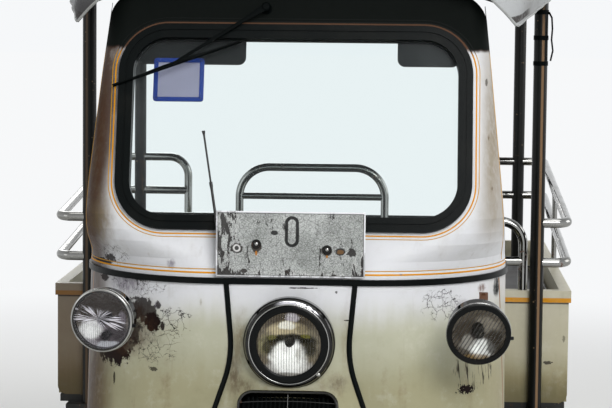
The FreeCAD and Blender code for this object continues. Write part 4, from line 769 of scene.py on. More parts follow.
plates = {
    "wide": 0.340, "tall": 0.150, "y": -1.193, "low": 0.942, "rearX": 0.536, "rearY": 1.2803, "rearZ": 0.480,
    # the pressed obround's middle over the lower edge, its half width and half of its straight part
    "slot": (0.003, 0.1043, 0.0095, 0.0195), "margin": 0.0030,
    "bolts": ((-0.078, 0.0750), (0.083, 0.0640)), "rearBolts": (0.077, 0.075),
    # sides and (radius, back) profiles of washer, head and stem, then the bright tip and the rear rings
    "bolt": ((28, ((0.0, -0.0018), (0.0100, -0.0018), (0.0108, -0.0012), (0.0108, 0.0), (0.0, 0.0))),
             (6, ((0.0, -0.0066), (0.0072, -0.0062), (0.0082, -0.0050), (0.0084, -0.0015), (0.0, -0.0015))),
             (14, ((0.0, -0.001), (0.0042, -0.001), (0.0042, 0.030), (0.0, 0.034)))),
    "tip": ((0.0, -0.0096), (0.0022, -0.0094), (0.0036, -0.0084), (0.0040, -0.0060), (0.0, -0.0060)),
    "rearRing": ((0.0036, 0.0), (0.0036, 0.0012), (0.0075, 0.0012), (0.0078, 0.0)),
}
plateSpots = (
    # place, half width and height, colour, raggedness
    (-0.037, 1.0433, 0.0088, 0.0062, (14, 13, 14), 0.2),
    (-0.1225, 1.0075, 0.015, 0.013, (40, 33, 30), 0.6),
    (-0.1225, 1.0075, 0.0098, 0.0098, (222, 222, 220), 0.15),
    (-0.1225, 1.0075, 0.0056, 0.0056, (28, 25, 24), 0.12),
    (0.1137, 1.0022, 0.0145, 0.0095, (26, 21, 19), 0.5),
    (0.1137, 1.0015, 0.0095, 0.0058, (112, 84, 54), 0.5), (0.138, 1.000, 0.010, 0.011, (30, 25, 24), 1.1),
    (-0.107, 0.955, 0.009, 0.006, (46, 40, 38), 0.7), (-0.009, 0.955, 0.006, 0.004, (52, 46, 42), 0.7),
    (0.100, 0.947, 0.006, 0.004, (44, 38, 36), 0.6), (0.165, 0.958, 0.006, 0.008, (50, 40, 38), 0.6),
    (-0.078, 1.0125, 0.0135, 0.0165, (44, 33, 25), 0.4),
    (0.083, 1.0035, 0.0145, 0.0135, (40, 31, 25), 0.3),
    (-0.078, 0.9965, 0.0030, 0.0065, (176, 112, 28), 0.3),
    (0.083, 0.9905, 0.0028, 0.0040, (170, 110, 30), 0.3),
)


# Grey paint crazed all over, flaked along the left and at the foot, with a dark obround and rusty spots.
def platePaint():
    paint = Paint("plateGrey")
    bent = paint.bent(90.0, 3.0, 0.005)
    flat = paint.node("Mapping", {"Vector": bent, "Scale": (0.75, 1.0, 1.25)})
    crack = paint.cells(230.0, "DISTANCE_TO_EDGE", where=flat).rise(0.085, 0.015)
    broad = paint.cells(105.0, "DISTANCE_TO_EDGE", where=bent).rise(0.05, 0.01)
    grain = paint.noise(420.0, 3.0, 0.7)
    worn = paint.noise(30.0, 6.0, 0.75, stretch=(2.2, 1.0, 0.7))
    left = paint.x.rise(-0.105, -0.140)
    corner = (paint.x + paint.z * 0.45).rise(0.360, 0.330)
    foot = paint.z.rise(0.966, 0.944)
    right = paint.x.rise(0.128, 0.150) * paint.z.rise(1.012, 0.995)
    ahead = paint.y.rise(0.1, -0.1)           # the rear plate is less flaked
    flaked = (worn + (left * 0.10 + corner * 0.03 + foot * 0.11 + right * 0.10) * ahead).rise(0.615, 0.640)
    grime = paint.noise(11.0, 5.0, 0.65).rise(0.36, 0.72)
    colour = paint.mix(grime, tone(200, 203, 201), tone(162, 166, 163))
    colour = paint.mix(grain.rise(0.42, 0.66) * 0.45, colour, tone(96, 98, 95))
    lines = (crack * 0.62 * paint.noise(18.0, 3.0).rise(0.28, 0.5)).atLeast(broad * 0.6)
    colour = paint.mix(lines.atMost(0.9), colour, tone(40, 39, 36))
    colour = paint.mix(flaked * 0.9, colour, tone(34, 29, 28))
    curls = (worn + left * 0.10 + foot * 0.10 + right * 0.09).rise(0.572, 0.592) * (1 - flaked)
    curls = curls * (left + foot + right + corner * 0.5).atMost(1)
    colour = paint.mix(curls * 0.85, colour, tone(226, 227, 225))
    front = paint.y.rise(-1.1, -1.15)
    for x, z, wide, tall, tint, fray in plateSpots:
        spot = paint.blot((x, z), (wide, tall), fray, 90.0, 0.25) * front
        colour = paint.mix(spot * 0.92, colour, tone(*tint))
    x, up, half, straight = plates["slot"]
    first, second = abs(paint.x - x), abs(paint.z - (plates["low"] + up)) - straight
    ring = abs((first ** 2 + second.atLeast(0) ** 2).root() - half - plates["margin"])
    dark = (ring + (worn - 0.5) * 0.003).rise(0.0046, 0.0028) * front
    colour = paint.mix(dark * 0.95, colour, tone(16, 14, 15))
    tall = plates["tall"] / 2
    inset = (plates["wide"] / 2 - abs(paint.x)).atMost(tall - abs(paint.z - (plates["low"] + tall)))
    colour = paint.mix(inset.rise(0.0055, 0.0045) * front * 0.75, colour, tone(40, 38, 36))
    edge = inset.rise(0.0038, 0.0030) * front
    colour = paint.mix(edge * (1 - flaked * 0.4), colour, tone(232, 233, 236))
    skin = paint.bump((1 - lines) * 0.5 + worn * 0.3 - flaked * 0.8, 0.0006)
    paint.close(colour, (0.5 + grime * 0.2 + flaked * 0.2), bump=skin, gloss=0.2)
    return paint


noseMarks = (
    ("scuff", (-0.385, 0.908), (0.062, 0.032), 0.7, 0.8),
    ("bare", (-0.352, 0.925), (0.020, 0.006), 0.9, 0.8),
    ("stainAndShade", (-0.352, 0.850), (0.048, 0.046), 0.9, 0.75),
    ("bare", (-0.345, 0.856), (0.034, 0.030), 0.8, 0.9),
    ("bare", (-0.320, 0.828), (0.022, 0.024), 0.5, 1.0),
    ("scuff", (-0.308, 0.868), (0.010, 0.012), 0.5, 0.9),
    ("bare", (-0.306, 0.868), (0.007, 0.010), 0.9, 0.85),
    ("bare", (-0.295, 0.820), (0.005, 0.011), 0.5, 0.95),
    ("stainAndShade", (-0.392, 0.785), (0.076, 0.046), 0.9, 0.75),
    ("bare", (-0.405, 0.775), (0.050, 0.034), 0.9, 0.8),
    ("bare", (-0.420, 0.750), (0.042, 0.034), 1.0, 1.0),
    ("stainAndShade", (-0.380, 0.800), (0.100, 0.075), 0.9, 0.8),
    ("bare", (-0.372, 0.812), (0.024, 0.040), 1.0, 0.8),
    ("cracks", (-0.335, 0.790), (0.085, 0.060), 0.6, 1.0),
    ("cracks", (-0.360, 0.910), (0.070, 0.026), 0.5, 0.9),
    ("cracks", (-0.270, 0.835), (0.050, 0.030), 0.6, 1.0),
    ("bare", (-0.415, 0.688), (0.003, 0.014), 0.7, 0.85),
    ("bare", (-0.316, 0.720), (0.010, 0.005), 0.9, 0.8),
    ("bare", (-0.447, 0.915), (0.012, 0.009), 0.8, 0.9),
    # painted shade down the left edge of the nose
    ("edge", (-0.450, 0.640), (0.045, 0.130), 0.6, 0.5),
    ("cracks", (0.345, 0.876), (0.050, 0.038), 0.5, 1.0),
    ("scuff", (0.395, 0.870), (0.022, 0.020), 0.8, 0.5),
    ("drips", (0.420, 0.715), (0.052, 0.050), 0.4, 0.9),
    ("bare", (0.405, 0.677), (0.018, 0.012), 1.6, 1.0),
    ("rust", (0.440, 0.905), (0.012, 0.014), 0.7, 0.85),
    ("black", (0.476, 0.900), (0.010, 0.030), 0.5, 1.0),
    # partly staining, partly painted shade beside the welts and under the headlamp
    ("stainAndShade", (-0.128, 0.725), (0.030, 0.090), 0.7, 0.75),
    ("edge", (-0.115, 0.800), (0.030, 0.080), 0.7, 0.65),
    ("stainAndShade", (0.112, 0.700), (0.034, 0.030), 0.7, 0.55),
    ("stainAndShade", (-0.100, 0.690), (0.034, 0.026), 0.7, 0.6),
    ("edge", (0.128, 0.800), (0.022, 0.110), 0.5, 0.45), ("edge", (0.0, 0.680), (0.110, 0.016), 0.7, 0.6),
    ("bare", (0.131, 0.8435), (0.008, 0.0016), 0.6, 0.9),
    ("bare", (0.026, 0.9165), (0.034, 0.0018), 1.2, 0.85),
    ("bare", (0.105, 0.908), (0.003, 0.003), 0.8, 0.8),
    ("edge", (-0.205, 0.880), (0.004, 0.012), 0.7, 0.5),
)
cowlMarks = (
    ("bare", (-0.430, 0.965), (0.016, 0.010), 0.9, 0.9),
    ("cracks", (-0.420, 0.975), (0.040, 0.030), 0.5, 0.8),
    ("scuff", (-0.276, 0.964), (0.013, 0.016), 0.9, 0.8),
    ("stainAndShade", (0.4490, 1.258), (0.004, 0.009), 0.4, 0.8),
    ("stainAndShade", (0.4580, 1.143), (0.004, 0.008), 0.4, 0.7),
    ("bare", (0.4430, 1.384), (0.003, 0.009), 0.6, 0.7),
    # painted shade down the pillars' rounded sides and at the left foot of the surround, darkest on the left,
    # away from the light
    ("edge", (0.460, 1.240), (0.034, 0.280), 0.5, 0.60),
    ("stainAndShade", (-0.455, 1.250), (0.032, 0.300), 0.4, 0.8),
    ("stainAndShade", (-0.485, 1.040), (0.040, 0.100), 0.6, 0.8),
    ("edge", (-0.440, 1.060), (0.050, 0.080), 0.5, 0.6),
    ("bare", (-0.455, 0.952), (0.030, 0.008), 0.9, 0.9),
)

finishes = {
    "cream": creamPaint("creamPaint", noseMarks, flank=True),
    "creamCowl": creamPaint("creamSurround", cowlMarks, (0.70, 0.60, 0.50), True, gloss=0.07),
    "creamTub": creamPaint("creamTub", (), (0.76, 0.62, 0.50), trim=True, shades=(
        tone(228, 225, 204), tone(216, 213, 188), tone(168, 162, 126))),
    "chrome": chromePaint("chromeBright", (0.30, 0.30, 0.29, 1), 0.4, 0.07),
    "chromeDark": chromePaint("chromeDull", (0.050, 0.050, 0.048, 1), 0.3, 0.07),
    "headlampChrome": chromePaint("headlampChrome", (0.035, 0.035, 0.034, 1), 0.2, 0.06, True),
    "chromeBead": chromePaint("chromeBead", (0.36, 0.36, 0.35, 1), 0.2, 0.05),
    "enamel": enamelPaint("blackEnamel", tone(14, 15, 13), tone(104, 78, 54), 0.25, 0.26, 0.2),
    "postEnamel": enamelPaint("postEnamel", tone(14, 15, 13), tone(104, 78, 54), 0.35, 0.26, 0.2, 0.622),
    "chassis": enamelPaint("chassisBlack", tone(38, 38, 36), tone(92, 62, 42), 0.8, 0.55),
    "rubber": rubberPaint("blackRubber", tone(5, 9, 9), 0.04, 0.30, 0.07),
    "bezel": rubberPaint("blackBezel", tone(6, 8, 8), 0.03, 0.16, 0.12),
    "plastic": rubberPaint("blackPlastic", tone(4, 7, 7), 0.03, 0.50, 0.04),
    "blue": rubberPaint("bluePlastic", tone(4, 50, 138), 0.08, 0.35, 0.08),
    "card": rubberPaint("paleCard", tone(160, 152, 174), 0.14, 0.6, 0.2),
    "canopyCloth": clothPaint("canopyCloth", tone(156, 158, 159), tone(114, 112, 108), gloss=0.15,
                              dirtAndShade=True),
    "piping": rubberPaint("palePiping", tone(150, 152, 151), 0.4, 0.5, 0.2),
    "greyVinyl": vinylPaint("greyVinyl", tone(164, 166, 165), tone(118, 116, 108)),
    "blackVinyl": vinylPaint("blackVinyl", tone(34, 34, 35), tone(70, 66, 60)),
    "lining": clothPaint("canopyLining", tone(12, 16, 15), tone(24, 26, 23), 0.85, 0.1),
    "glass": glassPaint("screenGlass"),
    "lampGlass": lampGlassPaint("lampGlass", ((0.0, lampMiddle, 0.0, 0.0060, 0.34),)),
    "lampGlassSide": lampGlassPaint("sideLampGlass", ((*leftLamp, 0.0, 0.0050, 0.15),
                                                      (*rightLamp, 30.0, 0.0078, 0.55))),
    "reflector": reflectorPaint("headlampSilver", tone(112, 103, 90), headlampPatches, 0.75),
    "reflectorSmall": reflectorPaint("sideLampSilver", tone(104, 96, 88), sideLampPatches, 0.50),
    "bulb": rubberPaint("bulbCap", tone(20, 19, 18), 0.2, 0.25),
    "wrap": wrapPaint(),
    "orange": enamelPaint("orangeStripe", tone(212, 144, 10), tone(150, 96, 24), 0.2, 0.5, 0.1, crown=True),
    "orangeThin": enamelPaint("thinStripe", tone(190, 140, 40), tone(120, 84, 40), 0.3, 0.5, 0.1, crown=True),
    "boltBlack": metalPaint("blackBolt", tone(34, 33, 32), 0.35),
    "aerial": rubberPaint("aerialBlack", tone(10, 11, 12), 0.05, 0.25, 0.3),
    "rusty": enamelPaint("rustySteel", tone(84, 56, 38), tone(46, 32, 24), 0.9, 0.6, 0.2),
    "red": rubberPaint("redLens", tone(150, 22, 18), 0.15, 0.12),
    "steel": metalPaint("bareSteel", tone(120, 116, 108)),
    "engine": metalPaint("engineMetal", tone(104, 104, 102), 0.25),
    "wheel": enamelPaint("wheelPaint", tone(172, 168, 156), tone(112, 78, 54), 0.6, 0.45),
    "tyre": tyrePaint(),
    "plate": platePaint(),
}

finishOf = {
    "cream": ("nose_centre", "nose_side_left", "nose_side_right", "driver_seat_box"),
    "creamCowl": ("cowl",),
    "creamTub": ("tub_front", "tub_sides", "tub_rear", "bench_boxes"),
    "headlampChrome": ("headlamp",),
    "chromeDark": ("side_lamps", "grille"),
    "chrome": ("side_rails_left", "side_rails_right", "partition_rail", "driver_hoop", "front_bumper",
               "rear_step", "handlebar"),
    "postEnamel": ("roof_posts",),
    "enamel": ("roof_frame",),
    "chassis": ("frame_rails", "cab_floor", "tub_floor", "fuel_tank", "leaf_springs"),
    "rubber": ("body_welts", "windscreen_gasket"),
    "plastic": ("dash", "sun_visors", "wiper", "aerial"),
    "blue": ("permit_holder",),
    "greyVinyl": ("canopy",),
    "blackVinyl": ("driver_cushions", "bench_cushions"),
    "glass": ("windscreen_glass",),
    "lampGlass": ("headlamp_lens", "side_lamp_lenses"),
    "red": ("tail_lamps",),
    "steel": ("rear_axle", "exhaust", "fork"),
    "engine": ("engine_block",),
    "wheel": ("front_rim", "rear_left_rim", "rear_right_rim"),
    "tyre": ("front_tyre", "rear_left_tyre", "rear_right_tyre"),
    "plate": ("number_plates",),
}


def dressNodes():
    for finish, names in finishOf.items():
        for name in names:
            slots = nodes[name].data.materials
            if not slots:
                slots.append(None)
            for i in range(len(slots)):
                slots[i] = finishes[finish].material


dressNodes()
print("finishes on the nodes")


# Stripes of the windscreen surround

stripes = {
    "proud": 0.0004, "sunk": 0.0005, "edge": 0.0003,
    "ring": ((0.0064, 0.0037), (0.0146, 0.0022)),       # gap from the rubber, width
    "belt": ((0.9455, 0.0042), (0.9545, 0.0024)),       # height, width
    "side": (math.radians(74), 0.0042, 0.962, 1.560),   # turn round the corner, width, lower and upper end
}


def stripRows(start, wide):                   # offsets and heights of a thin raised band's four edges
    edge = stripes["edge"]
    return ((start, -stripes["sunk"]), (start + edge, stripes["proud"]),
            (start + wide - edge, stripes["proud"]), (start + wide, -stripes["sunk"]))


def makeStripes():
    shape = Shape()
    for slot, (gap, wide) in enumerate(stripes["ring"]):
        rows = []
        for off, out in stripRows(gap, wide):
            at, normal = roundRect(screen["half"], screen["low"], screen["high"], screen["corner"], 60)
            at = at + normal * off
            rows.append(onCowl(at[:, 0], beltMid + at[:, 1] * math.cos(cab["rake"]), out))
        shape.grid(np.array(rows), wrapRows=True, wrapColumns=True, slot=slot)
    for slot, (z, wide) in enumerate(stripes["belt"]):
        half, front, radius = cowlAt(z)
        end = half - radius + radius * math.pi / 2 + (cab["backLow"] - front - radius) - 0.002
        s = np.linspace(-end, end, 161)
        rows = [onPlan(s, z + off, *cowlAt(z + off), out) for off, out in stripRows(0.0, wide)]
        shape.tube(np.array(rows).transpose(1, 0, 2), slot=slot)
    turn, wide, low, high = stripes["side"]
    z = np.linspace(low, high, 60)
    half, front, radius = cowlAt(z)
    for side in (1, -1):
        rows = [onPlan(side * (half - radius + radius * turn + off), z, half, front, radius, out)
                for off, out in stripRows(0.0, wide)]
        shape.tube(np.array(rows).transpose(1, 0, 2), slot=1)
    shape.make("cowlStripes", "chassis", "cream_paint", ["orange", "orangeThin"], sharp=60)


makeStripes()
print("stripes")


# Lamps

# Profiles are (radius, back) from the lamp's middle. A glass is radius, dome, wall, depth and pitch of its
# flutes. A bowl is radii, start and depth of its curve, and how far its outside lies from its inside.
headlamp = {
    "y": -1.2297, "glass": (0.0765, 0.0140, 0.0035, 0.00045, 0.0052), "glassBack": 0.0047,
    "bezel": ((0.0895, -0.0012), (0.0865, -0.0032), (0.0770, -0.0036), (0.0730, -0.0016), (0.0740, 0.0010),
              (0.0855, 0.0016), (0.0895, 0.0010)),
    "beads": ((0.0907, -0.0010, 0.0014), (0.1036, 0.0185, 0.0012)),         # radius, back, thickness
    "clamp": ((0.0, -0.006), (0.004, -0.0055), (0.0052, -0.004), (0.0052, 0.006), (0.0, 0.006)),
    "clampAt": (0.068, -0.068, 0.002),
    "bowl": ((0.0720, 0.070, 0.062, 0.052, 0.040, 0.028, 0.018, 0.012), 0.006, 0.050, (0.0015, 0.002)),
    "bulb": ((0.0, 0.018), (0.007, 0.019), (0.010, 0.023), (0.010, 0.033), (0.0085, 0.045),
             (0.012, 0.052), (0.012, 0.060), (0.0, 0.060)),
}
sideLamp = {
    "glass": (0.0636, 0.0100, 0.0030, 0.0005, 0.0050), "glassBack": 0.0035,
    "bead": (0.0724, 0.0095, 0.0013), "widths": {True: 0.0025, False: 0.0105},      # of the ring in front
    "bowl": ((0.0625, 0.058, 0.050, 0.040, 0.030, 0.020, 0.012), 0.0100, 0.036, (0.0012, 0.0016)),
    "bulb": ((0.0, 0.004), (0.010, 0.0045), (0.0125, 0.007), (0.0125, 0.013), (0.0105, 0.014),
             (0.0105, 0.030), (0.013, 0.032), (0.013, 0.045), (0.0, 0.045)),
    "screw": ((0.0, -0.005), (0.0035, -0.0045), (0.0042, -0.002), (0.0042, 0.005), (0.0, 0.005)),
    "screwAt": (0.0745, -0.010, 0.006),
}
sideLamps = (
    # place, yaw, pitch, turn of the flutes, does a plastic wrap cover it
    ((leftLamp[0], -1.270, leftLamp[1]), -10.0, 4.0, 0.0, True),
    ((rightLamp[0], -1.270, rightLamp[1]), 3.0, 14.0, 32.0, False),
)


def placed(points, centre, yaw=0.0, pitch=0.0):         # from (right, up, back) of a lamp to the frame
    yaw, pitch = math.radians(yaw), math.radians(pitch)
    across, upward, back = points[..., 0], points[..., 1], points[..., 2]
    y = back * math.cos(pitch) - upward * math.sin(pitch)
    z = back * math.sin(pitch) + upward * math.cos(pitch)
    x = across * math.cos(yaw) - y * math.sin(yaw)
    return np.stack([x, across * math.sin(yaw) + y * math.cos(yaw), z], -1) + np.asarray(centre, float)


def lathe(profile, sides):                    # (radius, back) points turned about the lamp's axis
    profile = np.asarray(profile, float)
    cosine, sine = circle(sides)
    return np.stack([profile[:, :1] * cosine, profile[:, :1] * sine,
                     np.repeat(profile[:, 1:], sides, 1)], -1)


# A reflector's profile: a parabola's inside from the rim to the bulb and, back again, its outside.
def bowlProfile(radii, start, deep, wall):
    radii = np.array(radii)
    depth = start + deep * (1 - (radii / radii[0]) ** 2)
    return [*zip(radii, depth)] + [(r + wall[0], d + wall[1]) for r, d in zip(radii[::-1], depth[::-1])]


def beadProfile(radius, back, thick):         # the round section of a thin bead
    cosine, sine = circle(10)
    return np.stack([radius + thick * cosine, back + thick * sine], -1)


# Front and back of a domed glass, its front pressed into upright flutes; flutes are waves across it.
def fluted(radius, dome, wall, flute, pitch, turn=0.0, columns=260, rows=34):
    across = radius * np.linspace(-1, 1, columns)[None]
    upward = np.sqrt(np.maximum(radius ** 2 - across ** 2, 0)) * np.linspace(-1, 1, rows)[:, None]
    across = np.broadcast_to(across, upward.shape)
    inner = 1 - (across ** 2 + upward ** 2) / radius ** 2
    wave = flute * (0.5 + 0.5 * np.cos(2 * math.pi * across / pitch)) * np.clip(inner * 8, 0, 1)
    angle = math.radians(turn)
    first = across * math.cos(angle) + upward * math.sin(angle)
    second = upward * math.cos(angle) - across * math.sin(angle)
    return (np.stack([first, second, -dome * inner - wave], -1),
            np.stack([first, second, -(dome - wall) * inner], -1))


def makeHeadlamp():
    centre = (0.0, headlamp["y"], lampMiddle)
    glass, bezel, bead, bowl, bulb = (Shape() for i in range(5))
    for face in fluted(*headlamp["glass"]):
        glass.grid(placed(face + (0, 0, headlamp["glassBack"]), centre))
    bezel.spin(headlamp["bezel"], 96, centre, ring=True)
    for ring in headlamp["beads"]:
        bead.spin(beadProfile(*ring), 96, centre, ring=True)
    bead.spin(headlamp["clamp"], 12, centre, shift=headlamp["clampAt"])
    bowl.spin(bowlProfile(*headlamp["bowl"]), 72, centre, ring=True)
    bulb.spin(headlamp["bulb"], 24, centre)
    glass.make("headlampGlass", "chassis", "lamp_glass", ["lampGlass"], ["headlamp_lens"])
    bezel.make("headlampBezel", "chassis", "black_rubber", ["bezel"], sharp=50)
    bead.make("headlampBead", "chassis", "chrome", ["chromeBead"], sharp=60)
    bowl.make("headlampReflector", "chassis", "chrome", ["reflector"], sharp=60)
    bulb.make("headlampBulb", "chassis", "lamp_glass", ["bulb"], sharp=60)


def makeSideLamps():
    glass, black, bright, bowl, bulb = (Shape() for i in range(5))
    for centre, yaw, pitch, turn, wrapped in sideLamps:
        for face in fluted(*sideLamp["glass"], turn, 220, 30):
            glass.grid(placed(face + (0, 0, sideLamp["glassBack"]), centre, yaw, pitch))
        bowl.spin(bowlProfile(*sideLamp["bowl"]), 64, centre, yaw, pitch, ring=True)
        bulb.spin(sideLamp["bulb"], 28, centre, yaw, pitch)
        wide = sideLamp["widths"][wrapped]
        ring = [(0.0725, -0.0005), (0.0712, -0.0024), (0.0712 - wide, -0.0028), (0.0705 - wide, 0.0),
                (0.0712 - wide, 0.0030), (0.0725, 0.0026)]
        into = bright if wrapped else black
        into.spin(ring, 80, centre, yaw, pitch, ring=True)
        bright.spin(beadProfile(*sideLamp["bead"]), 80, centre, yaw, pitch, ring=True)
        screw = lathe(sideLamp["screw"], 14)[..., [2, 1, 0]] * (-1, 1, 1) + np.array(sideLamp["screwAt"])
        black.grid(placed(screw, centre, yaw, pitch), wrapColumns=True)
    glass.make("sideLampGlass", "chassis", "lamp_glass", ["lampGlassSide"], ["side_lamp_lenses"])
    black.make("sideLampBezels", "chassis", "black_rubber", ["bezel"], sharp=50)
    bright.make("sideLampTrims", "chassis", "chrome", ["chromeBead"], sharp=60)
    bowl.make("sideLampReflectors", "chassis", "chrome", ["reflectorSmall"], sharp=60)
    bulb.make("sideLampBulbs", "chassis", "lamp_glass", ["bulb"], sharp=60)


# A crumpled clear wrap over one lamp: a thin film with folds that fan out from a pinch near its middle.
def makeWrap():
    centre, yaw, pitch = sideLamps[0][:3]
    edge = 0.0665                             # radius of the film
    radius = np.linspace(0.0015, edge, 60)[:, None]
    across, upward = (radius * way for way in circle(360))
    fromPinch = np.arctan2(upward - wrapPinch[1], across - wrapPinch[0])
    far = np.hypot(across - wrapPinch[0], upward - wrapPinch[1])
    folds = (np.sin(fromPinch * 23 + 3 * np.sin(far * 90)) + 0.6 * np.sin(fromPinch * 41 + far * 160)
             + 0.5 * np.sin(fromPinch * 9 + 2.0))
    height = 0.0007 * folds * np.clip(far / 0.02, 0.15, 1) * np.clip((edge - radius) / 0.006, 0, 1)
    film = -0.0078 + 0.0085 * (radius / edge) ** 2 + height - 0.0006
    front = np.stack([across, upward, film], -1)
    shape = Shape().grid(placed(front, centre, yaw, pitch), wrapColumns=True)
    shape.make("lampWrap", "chassis", "lamp_glass", ["wrap"], closed=False, sharp=180, facing=(0, -1, 0))


makeHeadlamp()
makeSideLamps()
makeWrap()
print("lamps")


# Grille: a chrome frame with thin bars in front of dark slats, tilted with the nose

grille = {
    "half": 0.115, "tall": 0.104, "corner": 0.034, "rim": 0.011, "top": 0.692, "y": -1.2434, "tilt": 27.0,
    "bars": (-0.030, -0.052, -0.074), "slats": np.linspace(-0.090, 0.090, 19), "slatHalf": 0.0016,
}


def onGrille(x, y, z):
    lean = math.radians(grille["tilt"])
    return np.stack(np.broadcast_arrays(x, grille["y"] + y * math.cos(lean) + z * math.sin(lean),
                                        grille["top"] + z * math.cos(lean) - y * math.sin(lean)), -1)


def makeGrille():
    at, normal = roundRect(grille["half"], -grille["tall"], 0.0, grille["corner"], 40)
    rim = grille["rim"]
    # inset from the outer edge and depth of the frame's section
    section = [(0.0, 0.040), (0.0, 0.006), (0.0015, 0.0020), (0.0045, -0.0006), (0.0075, 0.0016),
               (rim - 0.001, 0.0060), (rim, 0.012), (rim, 0.040)]
    rows = [onGrille(at[:, 0] - normal[:, 0] * inset, deep, at[:, 1] - normal[:, 1] * inset)
            for inset, deep in section]
    frameShape = Shape().grid(np.array(rows), wrapRows=True, wrapColumns=True)
    for z in grille["bars"]:
        x = np.linspace(-grille["half"] + rim - 0.001, grille["half"] - rim + 0.001, 30)
        deep = 0.0065 - 0.002 * (1 - (x / grille["half"]) ** 2)
        path = onGrille(x, deep, z + 0.004 * (1 - (x / 0.11) ** 2))
        frameShape.tube(tubeRings(path, 0.0011, 10))
    z = np.linspace(-grille["tall"] + rim, -rim, 12)
    frameShape.tube(tubeRings(onGrille(0.0, 0.0045, z), 0.0014, 10))
    frameShape.make("grilleFrame", "chassis", "chrome", ["chromeDark"], ["grille"], sharp=40)

    back = Shape()
    inner = roundRect(grille["half"] - rim + 0.002, -grille["tall"] + rim - 0.002, -rim + 0.002,
                      grille["corner"] - rim, 40)[0]
    share = np.linspace(1, 0, 8)[:, None, None]
    middle = np.array([0.0, -grille["tall"] / 2])
    rows = middle + (inner - middle) * share
    sheetFront, sheetBack = (onGrille(rows[..., 0], deep, rows[..., 1]) for deep in (0.030, 0.032))
    back.grid(np.concatenate([sheetFront[::-1], sheetBack]), wrapColumns=True)
    z = np.array([-grille["tall"] + rim, -rim])
    half = grille["slatHalf"]
    for x in grille["slats"]:
        corners = ((-half, 0.028), (-half, 0.018), (half, 0.018), (half, 0.028))
        box = [onGrille(x + dx, y, z) for dx, y in corners]
        back.tube(np.array(box).transpose(1, 0, 2))
    back.make("grilleSlats", "chassis", "black_plastic", ["plastic"], sharp=40)


makeGrille()


# Number plates: thin sheets with a raised white edge, one loose obround pressing and old bolts

def rectDistance(x, z, halfWide, halfTall, radius):     # distance outside a rounded rectangle, as a field
    first = np.abs(x) - (halfWide - radius)
    second = np.abs(z) - (halfTall - radius)
    outside = np.hypot(np.maximum(first, 0), np.maximum(second, 0))
    return outside + np.minimum(np.maximum(first, second), 0) - radius


def plateSheet(pressed):
    wide, tall = plates["wide"], plates["tall"]
    x = np.linspace(-wide / 2, wide / 2, 171)[None]
    z = np.linspace(0, tall, 76)[:, None]
    inner = rectDistance(x, z - tall / 2, wide / 2 - 0.0006, tall / 2 - 0.0006, 0.004)
    rise = 0.0012 * np.exp(-((inner + 0.0022) / 0.0014) ** 2)
    wave = 0.0006 * np.sin(x * 17 + 1.0) * np.sin(z * 31) + 0.0004 * np.sin(x * 43 + z * 25)
    face = -rise + wave
    if pressed:
        sx, sz, halfWide, halfTall = plates["slot"]
        radius = halfWide + plates["margin"]
        ring = rectDistance(x - sx, z - sz, radius, radius + halfTall, radius)
        face = face + 0.0011 * np.exp(-(ring / 0.0022) ** 2) - 0.0008 * (ring < -0.004)
    x, z = np.broadcast_arrays(x, z)
    return x, z, face


def makePlates():
    shape = Shape()
    for pressed, place, way in ((True, (0.0, plates["y"], plates["low"]), 1),
                                (False, (plates["rearX"], plates["rearY"] + 0.0026, plates["rearZ"]), -1)):
        x, z, face = plateSheet(pressed)
        front = np.stack([x + place[0], place[1] + way * (face - 0.0004), z + place[2]], -1)
        back = np.stack([x + place[0], place[1] + way * (face + 0.0018), z + place[2]], -1)
        shape.slab(front, back)
    shape.make("numberPlates", "chassis", "plate_paint", ["plate"], ["number_plates"], sharp=50)

    bolts, heads = Shape(), Shape()
    for x, up in plates["bolts"]:
        place = np.array([x, plates["y"] - 0.0004, plates["low"] + up])
        heads.spin(plates["tip"], 18, place + (0.0006, 0, 0.0012))
        for sides, profile in plates["bolt"]:
            bolts.spin(profile, sides, place)
    x, up = plates["rearBolts"]
    for side in (-1, 1):
        place = np.array([plates["rearX"] + side * x, plates["rearY"] + 0.0026, plates["rearZ"] + up])
        bolts.spin(plates["rearRing"], 24, place, ring=True)
    bolts.make("plateBolts", "chassis", "bare_steel", ["boltBlack"], sharp=35)
    heads.make("plateBoltTips", "chassis", "bare_steel", ["chromeBead"], sharp=35)


makePlates()
print("grille and plates")


# Canopy: one coated sheet stretched over the hoops, lined black, with seams, a hem and pale piping

canopy = {
    "front": -1.040, "body": -0.0693, "back": 1.290, "skirt": 0.026, "inset": 0.0090, "thick": 0.0026,
    # half width, spring height, crown height and corner radius at the front and over the body
    "frontSize": (0.520, 1.541, 1.670, 0.040), "bodySize": (0.700, 1.645, 1.780, 0.090),
    "hoops": (-1.040, -0.945, -0.0693, 1.100, 1.266, 1.290), "sag": (0.0, 0.009, 0.016, 0.002, 0.0),
    "runs": ((-0.945, 0.418), (-0.0693, 0.622)),        # place along and out of the long bars below
    "seams": (0.335, 0.0009, 0.006), "hem": (0.020, 0.0008), "piping": 0.0034,
    "point": (0.436, 0.110),                            # where the front edge turns down, how far that fades
}


# Three arcs and two skirts over the roof at y: corner arcs meet the big arc where their centres line up.
def canopyArch(y, inset, count=72):
    share = np.clip((y - canopy["front"]) / (canopy["body"] - canopy["front"]), 0, 1)
    half, spring, crown, corner = (a + (b - a) * share
                                   for a, b in zip(canopy["frontSize"], canopy["bodySize"]))
    span, tall = half - corner, crown - spring
    big = (span ** 2 + tall ** 2 - corner ** 2) / (2 * (tall - corner))
    lean = np.arctan2(span, spring - (crown - big))
    drop = np.linspace(1, 0, 7)[:-1] * canopy["skirt"]
    turn = np.linspace(math.pi / 2, lean, 16)[:-1]
    wide = np.linspace(lean, 0, count // 2)
    x = np.concatenate([np.full_like(drop, half - inset), span + (corner - inset) * np.sin(turn),
                        (big - inset) * np.sin(wide)])
    z = np.concatenate([spring - drop, spring + (corner - inset) * np.cos(turn),
                        crown - big + (big - inset) * np.cos(wide)])
    return np.concatenate([-x, x[-2::-1]]), np.concatenate([z, z[-2::-1]])


